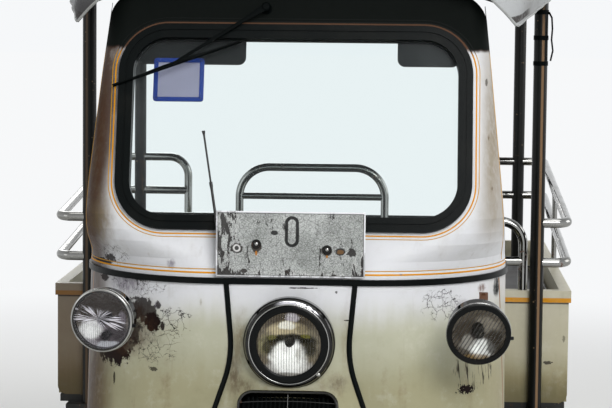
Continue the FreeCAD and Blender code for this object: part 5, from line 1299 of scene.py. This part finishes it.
# The front corners are drawn down to points: there the arch runs straight from its turn to its skirt's end.
def pointedArch(y, x, z):
    turn, fade = canopy["point"]
    share = np.clip(1 - (y - canopy["front"]) / fade, 0, 1) ** 2 * 0.92
    walked = np.concatenate([[0], np.cumsum(np.hypot(np.diff(x), np.diff(z)))])
    start = np.interp(-turn, x[:len(x) // 2], walked[:len(x) // 2])
    along = np.clip(1 - np.minimum(walked, walked[-1] - walked) / start, 0, 1)
    corner = along > 0
    straightX = np.sign(x) * (turn + (abs(x[0]) - turn) * along)
    straightZ = np.interp(start, walked, z) * (1 - along) + z[0] * along
    share = np.where(corner, share, 0)
    return np.stack([x + (straightX - x) * share, z + (straightZ - z) * share], -1)


def canopySurface(inset, rows=150):           # the arch carried along the roof, sagging between its hoops
    y = np.unique(np.concatenate([np.linspace(canopy["front"], canopy["back"], rows), canopy["hoops"]]))
    arches = np.array([pointedArch(at, *canopyArch(at, inset)) for at in y])
    x, z = arches[..., 0], arches[..., 1]
    sag = np.zeros_like(y)
    for start, end, deep in zip(canopy["hoops"], canopy["hoops"][1:], canopy["sag"]):
        sag += deep * np.sin(math.pi * np.clip((y - start) / (end - start), 0, 1)) ** 1.3
    run = np.interp(y, *zip(*canopy["runs"]))[:, None]
    inside = np.clip(1 - (x / run) ** 2, 0, 1) ** 0.8
    long = y[:, None]
    ripple = (0.0011 * np.sin(x * 31 + np.sin(long * 3) * 2) * np.sin(long * 9 + 1)
              + 0.0007 * np.sin(x * 57 + long * 23) + 0.0006 * np.sin(long * 70 + x * 9))
    ripple *= np.clip(sag / 0.006, 0, 1)[:, None]
    z = z - sag[:, None] * inside - np.abs(ripple) * inside
    edge = np.minimum(z - (np.min(z, 1, keepdims=True)), 0.05)
    x = x + np.sign(x) * 0.0012 * np.sin(long * 38 + np.sin(long * 11)) * (1 - edge / 0.05) * (inset > 0)
    return np.stack([x, np.broadcast_to(long, x.shape), z], -1)


# The hem and the seams lie a little higher than the cloth, as folded and overlapped strips do.
def canopyRelief(points):
    x, y = points[..., 0], points[..., 1]
    at, high, wide = canopy["seams"]
    along = np.clip(1 - (np.abs(np.abs(x) - at * np.clip(0.78 + (y + 1.04) * 0.22, 0, 1)) / wide) ** 4, 0, 1)
    over = np.zeros_like(y)
    for hoopY in canopy["hoops"][2:4]:
        over = np.maximum(over, np.clip(1 - (np.abs(y - hoopY) / 0.016) ** 4, 0, 1))
    hem = np.maximum(np.clip((canopy["front"] + canopy["hem"][0] - y) / 0.002, 0, 1),
                     np.clip((y - canopy["back"] + canopy["hem"][0]) / 0.002, 0, 1))
    return np.maximum(np.maximum(along, over) * high, hem * canopy["hem"][1])


def makeCanopy():
    outer = canopySurface(canopy["inset"])
    inner = canopySurface(canopy["inset"] + canopy["thick"])
    outer[..., 2] += canopyRelief(outer)
    shape = Shape()
    shape.slab(outer, inner, backSlot=1)
    piece = shape.make("canopySheet", "chassis", "grey_vinyl", ["canopyCloth", "lining"], ["canopy"],
                       sharp=55)
    piping = Shape()
    radius = canopy["piping"]
    for row in (outer[0], outer[-1]):
        path = row.copy()
        path[:, 1] += 0.002 * np.sign(row[0, 1])
        piping.tube(tubeRings(path, radius, 10))
    for column in (0, -1):
        path = outer[:, column].copy()
        path[:, 2] -= 0.001
        piping.tube(tubeRings(path[1:-1], radius * 0.8, 10))
    pipes = piping.make("canopyPiping", "chassis", "grey_vinyl", ["piping"], sharp=60)


# Cushions: crowned pads, swollen by a cloth run, with piped seams

cushions = {
    # size of the cloth's mesh, furthest that a point moves, pressure, frames, start inside the full size
    "voxel": 0.006, "cap": 0.014, "pressure": 4.0, "frames": 20, "shrink": 0.007,
    "round": 0.030, "seamCorner": 0.028, "seamInset": 0.004, "piping": 0.0032,
    # name, lowest and highest corner, crown, rounding, the side that lies on something
    "pads": (("benchCushionLeft", (0.364, -0.020, 0.6655), (0.686, 1.068, 0.735), 0.016, "z"),
             ("benchCushionRight", (-0.686, -0.020, 0.6655), (-0.364, 1.068, 0.735), 0.016, "z"),
             ("driverCushion", (-0.234, -0.526, 0.6905), (0.234, -0.122, 0.760), 0.018, "z"),
             ("driverBackPad", (-0.165, -0.166, 0.790), (0.165, -0.118, 0.960), 0.014, "y")),
    "replaced": {"benchCushionLeft": ["bench_cushions"], "driverCushion": ["driver_cushions"]},
}


# A pad's skin: a box whose points are drawn in at the corners, domed above and pulled in between its corners.
def padShape(low, high, crown, rest, step=0.012):
    low, high = np.array(low, float), np.array(high, float)
    size, middle = (high - low) / 2, (high + low) / 2
    up = 2 if rest == "z" else 1
    first, second = [a for a in (0, 1, 2) if a != up]
    rounding = min(size[up] * 0.85, cushions["round"])
    counts = [max(10, int(size[a] * 2 / step)) for a in (first, second)]
    a, b = np.meshgrid(*(np.linspace(-1, 1, count + 1) for count in counts), indexing="ij")
    # lift runs as a quarter circle from each edge, and dome as a parabola both ways
    edges = [np.clip((1 - np.abs(way)) * size[axis] / rounding, 0, 1)
             for way, axis in ((a, first), (b, second))]
    lift = np.sqrt(1 - (1 - edges[0]) ** 2) * np.sqrt(1 - (1 - edges[1]) ** 2)
    dome = (1 - a ** 2) * (1 - b ** 2)
    pull = 0.006 * (1 - np.minimum(lift * 3, 1))
    top = -size[up] * 0.15 + (size[up] * 1.15 - crown + crown * dome) * lift
    bottom = -size[up] * 0.15 - size[up] * 0.85 * lift
    shape = Shape()
    for height in (top, bottom):
        place = np.zeros(a.shape + (3,))
        place[..., first] = middle[first] + a * (size[first] - pull * (1 - b ** 2))
        place[..., second] = middle[second] + b * (size[second] - pull * (1 - a ** 2))
        place[..., up] = middle[up] + (height if rest == "z" else -height)      # a back pad's dome faces -Y
        shape.grid(place)
    return shape


# Cloth run: pressure swells the pad, no point moves further than the cap, and its resting side stays flat.
def swell(piece, low, high, rest):
    remesh = piece.modifiers.new("remesh", "REMESH")
    remesh.mode = "VOXEL"
    remesh.voxel_size = cushions["voxel"]
    applyModifiers(piece)
    mesh = piece.data
    start = pointsOf(mesh)
    cloth = piece.modifiers.new("cloth", "CLOTH")
    cloth.settings.quality = 5
    cloth.settings.use_pressure = True
    cloth.settings.uniform_pressure_force = cushions["pressure"]
    cloth.settings.effector_weights.gravity = 0
    cloth.point_cache.frame_start = 1
    cloth.point_cache.frame_end = cushions["frames"]
    for step in range(1, cushions["frames"] + 1):
        scene.frame_set(step)
    seen = piece.evaluated_get(bpy.context.evaluated_depsgraph_get())
    end = pointsOf(seen.data)
    piece.modifiers.remove(cloth)
    scene.frame_set(1)
    move = end - start
    far = np.linalg.norm(move, axis=1, keepdims=True)
    end = start + move * np.minimum(1, cushions["cap"] / np.maximum(far, 1e-9))
    end = np.clip(end, np.array(low) - (0.004, 0.004, 0), np.array(high) + (0.004, 0.004, 0.006))
    if rest == "z":
        end[:, 2] = np.maximum(end[:, 2], low[2])
    else:
        end[:, 1] = np.minimum(end[:, 1], high[1])
    mesh.vertices.foreach_set("co", end.ravel())
    mesh.update()
    mesh.shade_smooth()


def pointsOf(mesh):
    points = np.zeros(len(mesh.vertices) * 3)
    mesh.vertices.foreach_get("co", points)
    return points.reshape(-1, 3)


def applyModifiers(piece):
    seen = piece.evaluated_get(bpy.context.evaluated_depsgraph_get())
    mesh = bpy.data.meshes.new_from_object(seen)
    piece.modifiers.clear()
    piece.data = mesh


def padSeam(low, high, rest):                 # the path of the piped seam round a pad
    low, high = np.array(low, float), np.array(high, float)
    size, middle = (high - low) / 2, (high + low) / 2
    up = 2 if rest == "z" else 1
    first, second = [a for a in (0, 1, 2) if a != up]
    at, normal = roundRect(size[first], -size[second], size[second], cushions["seamCorner"], 60)
    at = at - normal * cushions["seamInset"]
    path = np.zeros((len(at), 3))
    path[:, first] = middle[first] + at[:, 0]
    path[:, second] = middle[second] + at[:, 1]
    path[:, up] = middle[up] + (size[up] * 0.30 if rest == "z" else -size[up] * 0.30)
    return path


def closedTube(path, radius, sides=8):        # a round section carried round a closed path
    ahead = np.roll(path, -1, 0) - np.roll(path, 1, 0)
    ahead /= np.linalg.norm(ahead, axis=1, keepdims=True)
    flat = np.array([0.0, 0.0, 1.0]) if np.ptp(path[:, 2]) < np.ptp(path[:, 1]) else np.array([0.0, 1.0, 0.0])
    across = np.cross(ahead, flat)
    cosine, sine = circle(sides)
    return path[:, None] + radius * (across[:, None] * cosine[None, :, None] + flat * sine[None, :, None])


def makeCushions():
    piped = Shape()
    for name, low, high, crown, rest in cushions["pads"]:
        shrink = cushions["shrink"]
        inner = [a + shrink for a in low], [a - shrink for a in high]
        if rest == "z":
            inner[0][2] = low[2]
        else:
            inner[1][1] = high[1]
        shape = padShape(inner[0], inner[1], crown, rest)
        replaced = cushions["replaced"].get(name, [])
        piece = shape.make(name, "chassis", "black_vinyl", ["blackVinyl"], replaced, sharp=180)
        swell(piece, low, high, rest)
        seam = closedTube(padSeam(low, high, rest), cushions["piping"])
        piped.grid(seam, wrapRows=True, wrapColumns=True)
    piped.make("cushionPiping", "chassis", "black_vinyl", ["blackVinyl"], sharp=60)


makeCanopy()
makeCushions()
print("canopy and cushions")


# Tyres: a round section with three grooves and angled cuts in the tread, ribs and a bead line on the wall

tyre = {
    "half": 0.059, "around": 288, "across": 72,
    # width across from the middle and radius, from one bead over the tread
    "section": ((0.0470, 0.1325), (0.0468, 0.1440), (0.0530, 0.1600), (0.0578, 0.1800), (0.0590, 0.2000),
                (0.0582, 0.2200), (0.0560, 0.2360), (0.0525, 0.2480), (0.0460, 0.2565), (0.0330, 0.2604),
                (0.0160, 0.2618), (0.0, 0.2620)),
    "treadR": 0.2520, "groove": 0.0065, "grooveHalf": 0.0024, "grooveAt": 0.0235, "slope": 0.0012,
    "cuts": 72, "cutHalf": 0.0017, "cutR": 0.258,
    "ribs": 144, "ribR": 0.236, "ribHigh": 0.0006, "lines": (0.158, 0.214), "lineHigh": 0.0010,
    "wheels": (("frontTyre", "front_wheel", "front_tyre", (0.0, -1.120, 0.262)),
               ("rearLeftTyre", "rear_wheel_left", "rear_left_tyre", (0.565, 0.850, 0.262)),
               ("rearRightTyre", "rear_wheel_right", "rear_right_tyre", (-0.565, 0.850, 0.262))),
}


# Places across and radii of the section at equal steps from one bead to the other, smoothed.
def tyreSection(count):
    points = np.array(tyre["section"])
    whole = np.concatenate([points, (points * (-1, 1))[-2::-1]])
    run = np.concatenate([[0], np.cumsum(np.linalg.norm(np.diff(whole, axis=0), axis=1))])
    fine = np.linspace(0, run[-1], count)
    return smooth(np.stack([np.interp(fine, run, whole[:, i]) for i in (0, 1)], 1), 6)


def groove(distance, half):                   # 1 inside a groove's half width, 0 outside, with sloping walls
    return np.clip((half - np.abs(distance)) / tyre["slope"] + 0.5, 0, 1)


# The tread's depth is sunk along three straight grooves and along cuts that slant with the place across.
def makeTyres():
    section = tyreSection(tyre["across"])
    x, radius = section[:, 0][None], section[:, 1][None]
    turn = (np.arange(tyre["around"]) * 2 * math.pi / tyre["around"])[:, None]
    tread = np.clip((radius - tyre["treadR"]) / 0.003, 0, 1)
    at = tyre["grooveAt"]
    long = np.maximum.reduce([groove(x - side * at, tyre["grooveHalf"]) for side in (-1, 0, 1)])
    pitch = 2 * math.pi / tyre["cuts"]
    slant = np.where(np.abs(x) > at, 0.35, -0.35) * np.abs(x) / at
    phase = np.mod(turn / pitch + slant, 1) - 0.5
    cut = groove(phase * pitch * tyre["cutR"], tyre["cutHalf"]) * (np.abs(x) > 0.006)
    sink = tyre["groove"] * np.maximum(long, cut * 0.75) * tread
    wave = tyre["ribHigh"] * (0.5 + 0.5 * np.cos(turn * tyre["ribs"]))
    ribs = wave * np.clip(1 - np.abs(radius - tyre["ribR"]) / 0.008, 0, 1)
    lines = sum(tyre["lineHigh"] * np.clip(1 - np.abs(radius - ringR) / 0.0016, 0, 1)
                for ringR in tyre["lines"])
    outerX = np.clip(x + np.sign(x) * (ribs + lines), -tyre["half"], tyre["half"])
    innerX = np.clip(x * 0.90, -0.051, 0.051)
    innerR = np.where(radius > 0.24, radius - 0.016, radius)
    for name, body, node, centre in tyre["wheels"]:
        outer, inner = (np.stack(np.broadcast_arrays(wide, far * np.cos(turn), far * np.sin(turn)), -1)
                        for wide, far in ((outerX, radius - sink), (innerX, innerR)))
        skin = np.concatenate([outer, inner[:, ::-1]], 1) + np.array(centre)
        shape = Shape().grid(skin, wrapRows=True, wrapColumns=True)
        shape.make(name, body, "tyre", ["tyre"], [node], sharp=40)


makeTyres()
print("tyres")


# Small fittings on the windscreen: wiper, aerial, permit card

fittings = {
    # how far out the wiper lies, then places across and up the screen
    "over": -0.016, "pivot": (-0.072, 0.646), "armEnd": (-0.277, 0.512),
    "blade": ((-0.425, 0.454), (-0.129, 0.564)), "bow": 0.075,
    "aerialFoot": (-0.162, 0.073), "aerialTip": (-0.209, 0.347), "aerialOut": -0.017,
    "rods": ((0.0, 0.26, 0.0042), (0.25, 0.56, 0.0032), (0.55, 1.0, 0.0023)),       # start, end, radius
    # (radius, back) profiles over the wiper's pivot and the aerial's foot
    "cap": ((0.0, -0.026), (0.0075, -0.0255), (0.0105, -0.0225), (0.0112, -0.016), (0.0112, -0.002),
            (0.0135, 0.0), (0.0135, 0.004), (0.0, 0.004)),
    "base": ((0.0, -0.024), (0.0050, -0.0235), (0.0070, -0.018), (0.0070, -0.004), (0.0110, -0.001),
             (0.0115, 0.003), (0.0, 0.003)),
    "holder": {"x": -0.274, "low": 0.425, "half": 0.059, "tall": 0.104, "border": 0.0105, "face": 0.0129},
}


def flatBar(path, wide, thick, across):       # a flat section carried along a path
    path = np.asarray(path, float)
    ahead = np.gradient(path, axis=0)
    ahead /= np.linalg.norm(ahead, axis=1, keepdims=True)
    side = np.cross(ahead, np.asarray(across, float))
    side /= np.linalg.norm(side, axis=1, keepdims=True)
    lift = np.cross(side, ahead)
    wide = np.broadcast_to(wide, len(path))[:, None]
    thick = np.broadcast_to(thick, len(path))[:, None]
    corners = [(-0.5, -0.4), (-0.42, -0.5), (0.42, -0.5), (0.5, -0.4),
               (0.5, 0.4), (0.42, 0.5), (-0.42, 0.5), (-0.5, 0.4)]
    return np.stack([path + side * wide * a + lift * thick * b for a, b in corners], 1)


def rakePath(points, out, count=24):          # straight runs between (x, up) points, held out from the glass
    points = np.asarray(points, float)
    share = np.linspace(0, len(points) - 1, count)
    x = np.interp(share, np.arange(len(points)), points[:, 0])
    up = np.interp(share, np.arange(len(points)), points[:, 1])
    return onRake(x, np.broadcast_to(np.asarray(out, float), x.shape), up)


def makeFittings():
    ahead = onRake(0.0, -1.0, 0.0) - onRake(0.0, 0.0, 0.0)
    over = fittings["over"]
    black = Shape()
    pivot, end = fittings["pivot"], fittings["armEnd"]
    share = np.linspace(0, 1, 24)
    arm = rakePath([pivot, end], over - 0.006 + 0.004 * share)
    black.tube(flatBar(arm, np.interp(share, (0, 0.25, 1), (0.016, 0.0085, 0.0065)), 0.0035, ahead))
    first, last = fittings["blade"]
    black.tube(flatBar(rakePath([first, last], over + 0.004), 0.0055, 0.0100, ahead))
    black.tube(flatBar(rakePath([first, last], over - 0.0022), 0.0034, 0.0030, ahead))
    middle = (np.array(first) + np.array(last)) / 2
    along = np.array(last) - middle
    along *= fittings["bow"] / np.linalg.norm(along)
    bow = rakePath([middle - along, middle + along], over - 0.003 - 0.007 * np.sin(math.pi * share))
    black.tube(flatBar(bow, 0.0060, 0.0022, ahead))
    lean = math.degrees(cab["rake"])
    black.spin(fittings["cap"], 24, onRake(pivot[0], 0.0, pivot[1]), pitch=-lean)
    black.make("wiperArm", "chassis", "black_plastic", ["plastic"], ["wiper"], sharp=40)

    mast = Shape()
    foot, tip = np.array(fittings["aerialFoot"]), np.array(fittings["aerialTip"])
    out = fittings["aerialOut"]
    for low, high, radius in fittings["rods"]:
        path = rakePath([foot + (tip - foot) * low, foot + (tip - foot) * high], out, 12)
        rings = np.full(12, radius)
        rings[-2:] *= (1.25, 1.25) if high < 1 else (1.0, 1.8)
        mast.tube(tubeRings(path, rings, 12))
    mast.spin(fittings["base"], 20, onRake(foot[0], 0.0, foot[1]), pitch=-lean)
    mast.make("aerialMast", "chassis", "black_plastic", ["aerial"], ["aerial"], sharp=40)

    makePermitHolder()


# Blue frame stuck behind the glass, with a pale card that has bowed a little in it.
def makePermitHolder():
    x, low, half, tall, border, face = fittings["holder"].values()
    at, normal = roundRect(half, 0.0, tall, 0.006, 20)
    # inset from the outer edge and depth behind the face
    section = [(0.0, 0.0046), (0.0, 0.0006), (0.0008, 0.0), (border - 0.0006, 0.0), (border, 0.0008),
               (border, 0.0022)]
    rows = [onRake(x + at[:, 0] - normal[:, 0] * inset, face + deep, low + at[:, 1] - normal[:, 1] * inset)
            for inset, deep in section]
    holder = Shape().grid(np.array(rows), wrapColumns=True)
    for row in (rows[0], rows[-1]):
        holder.grid(np.array([row, np.broadcast_to(row.mean(0), row.shape)]), wrapColumns=True)
    holder.make("permitFrame", "chassis", "blue_plastic", ["blue"], ["permit_holder"], sharp=40)
    wide, high = half - border, tall / 2 - border
    a, b = np.meshgrid(np.linspace(-wide, wide, 17), np.linspace(-high, high, 17))
    bow = 0.0006 * np.cos(a / wide * 1.4) * np.cos(b / high * 2 + 0.4)
    card = Shape()
    card.slab(*(onRake(x + a, face + deep - bow, low + tall / 2 + b) for deep in (0.0014, 0.0018)))
    card.make("permitCard", "chassis", "blue_plastic", ["card"], sharp=60)


# Nuts and hub caps of the wheels

wheelTrim = {
    "nutR": 0.060, "nuts": 5, "nutSize": 0.0085, "faceOut": 0.048,
    "disc": {1: 0.0172, -1: -0.0108},         # how far out the dished disc's two faces lie
    # radius and height over the wheel's face
    "cap": ((0.0, 0.012), (0.012, 0.0112), (0.022, 0.008), (0.0285, 0.002), (0.0310, -0.003), (0.0, -0.003)),
    # washer, nut and stud: sides, then shares of the nut's radius and heights over the disc
    "layers": ((20, ((0.0, 0.0022), (1.25, 0.0022), (1.35, 0.001), (1.35, -0.001), (0.0, -0.001))),
               (6, ((0.0, 0.0100), (0.86, 0.0100), (1.0, 0.0086), (1.0, 0.0), (0.0, 0.0))),
               (12, ((0.0, 0.0150), (0.40, 0.0146), (0.48, 0.0132), (0.48, 0.009), (0.0, 0.009)))),
}


# A profile of (radius, out) turned about the axle's direction on one side of a wheel.
def onAxle(profile, sides, side, centre, y=0.0, z=0.0):
    profile = np.asarray(profile, float)
    cosine, sine = circle(sides, 0.3)
    return np.stack([np.repeat(profile[:, 1:] * side, sides, 1), profile[:, :1] * cosine + y,
                     profile[:, :1] * sine + z], -1) + np.array(centre)


def makeWheelTrim():
    size, nuts = wheelTrim["nutSize"], wheelTrim["nuts"]
    for name, body, _, centre in tyre["wheels"]:
        shape, bright = Shape(), Shape()
        for side in ((1, -1) if body == "front_wheel" else (math.copysign(1, centre[0]),)):
            cap = np.array(wheelTrim["cap"]) + (0, wheelTrim["faceOut"])
            bright.grid(onAxle(cap, 40, side, centre), wrapColumns=True)
            for i in range(nuts):
                angle = 2 * math.pi * (i + 0.5) / nuts
                y, z = wheelTrim["nutR"] * math.cos(angle), wheelTrim["nutR"] * math.sin(angle)
                for sides, profile in wheelTrim["layers"]:
                    profile = np.array(profile) * (size, 1) + (0, wheelTrim["disc"][side])
                    shape.grid(onAxle(profile, sides, side, centre, y, z), wrapColumns=True)
        shape.make(name.replace("Tyre", "Nuts"), body, "bare_steel", ["steel"], sharp=30)
        bright.make(name.replace("Tyre", "HubCap"), body, "chrome", ["chrome"], sharp=50)


# A thin strap that braces the right lamp from the nose, and a strap with a hook on the post behind it

straps = {
    "path": ((0.4405, -1.1500, 0.9080), (0.4405, -1.1680, 0.9080), (0.4400, -1.1860, 0.9030),
             (0.4390, -1.2100, 0.8960), (0.4380, -1.2300, 0.8935), (0.4370, -1.2440, 0.8930)),
    "bolts": ((0.4395, -1.178, 0.9065), (0.4395, -1.238, 0.8945)),
    "bolt": ((0.0, 0.0075), (0.0048, 0.0075), (0.0056, 0.0062), (0.0056, -0.002), (0.0, -0.002)),
    "post": (0.622, -0.0693), "bands": (1.545, 1.475, 1.405), "bandR": 0.0205,
    # the loose end's places, the first two from the post's middle
    "tail": ((0.020, -0.006, 1.545), (0.028, -0.008, 1.530), (0.030, -0.009, 1.500),
             (0.028, -0.010, 1.470), (0.032, -0.010, 1.440), (0.026, -0.010, 1.412)),
}


def makeStraps():
    strap = Shape()
    strap.tube(flatBar(straps["path"], 0.020, 0.0028, (0, 0, 1)))
    for place in straps["bolts"]:
        strap.grid(lathe(straps["bolt"], 6)[..., [0, 2, 1]] + np.array(place), wrapColumns=True)
    strap.make("lampStrap", "chassis", "bare_steel", ["rusty"], sharp=40)

    hook = Shape()
    x, y = straps["post"]
    cosine, sine = circle(32)
    for z in straps["bands"]:
        ring = np.stack([x + straps["bandR"] * cosine, y + straps["bandR"] * sine, np.full(32, z)], -1)
        rows = [ring + (0, 0, dz) + (ring - (x, y, z)) * grown
                for dz, grown in ((-0.006, -0.10), (-0.006, 0), (0.006, 0), (0.006, -0.10))]
        hook.grid(np.array(rows), wrapRows=True, wrapColumns=True)
    hook.tube(flatBar(np.array(straps["tail"]) + (x, y, 0), 0.012, 0.0022, (1, 0.2, 0)))
    hook.make("postStrap", "chassis", "black_vinyl", ["plastic"], sharp=40)


makeFittings()
makeWheelTrim()
makeStraps()
print("small fittings")


# Chrome rims and screws of the tail lamps

tailLamps = {
    "x": 0.536, "y": 1.2704, "z": 0.690, "screwOut": 0.024,
    "rim": ((0.0442, 0.0), (0.0496, 0.0), (0.0500, 0.0040), (0.0484, 0.0080), (0.0460, 0.0096),
            (0.0442, 0.0090)),
    "screw": ((0.0, 0.0344), (0.0022, 0.0342), (0.0034, 0.0334), (0.0037, 0.0316), (0.0, 0.0316)),
}


def makeTailTrim():
    rims, screws = Shape(), Shape()
    for side in (1, -1):
        centre = np.array((side * tailLamps["x"], tailLamps["y"], tailLamps["z"]))
        rims.spin(tailLamps["rim"], 48, centre, ring=True)
        for up in (1, -1):
            screws.spin(tailLamps["screw"], 16, centre + (0.0, 0.0, up * tailLamps["screwOut"]))
    rims.make("tailLampRims", "chassis", "chrome", ["chrome"], sharp=40)
    screws.make("tailLampScrews", "chassis", "chrome", ["chrome"], sharp=40)


makeTailTrim()
print("tail lamp trim")


# Rubber ribs on the tread of the rear step

stepRibs = {"half": 0.300, "top": 0.3720, "first": 1.352, "last": 1.442, "count": 7,
            "section": ((-0.0055, -0.0004), (-0.0038, 0.0022), (0.0038, 0.0022), (0.0055, -0.0004))}


def makeStepRibs():
    shape = Shape()
    section = np.array(stepRibs["section"])
    for y in np.linspace(stepRibs["first"], stepRibs["last"], stepRibs["count"]):
        rings = [np.stack([np.full(4, x), y + section[:, 0], stepRibs["top"] + section[:, 1]], -1)
                 for x in (-stepRibs["half"], stepRibs["half"])]
        shape.tube(np.array(rings))
    shape.make("stepRibs", "chassis", "black_rubber", ["rubber"], sharp=40)


makeStepRibs()
print("step ribs")


print("pieces done")
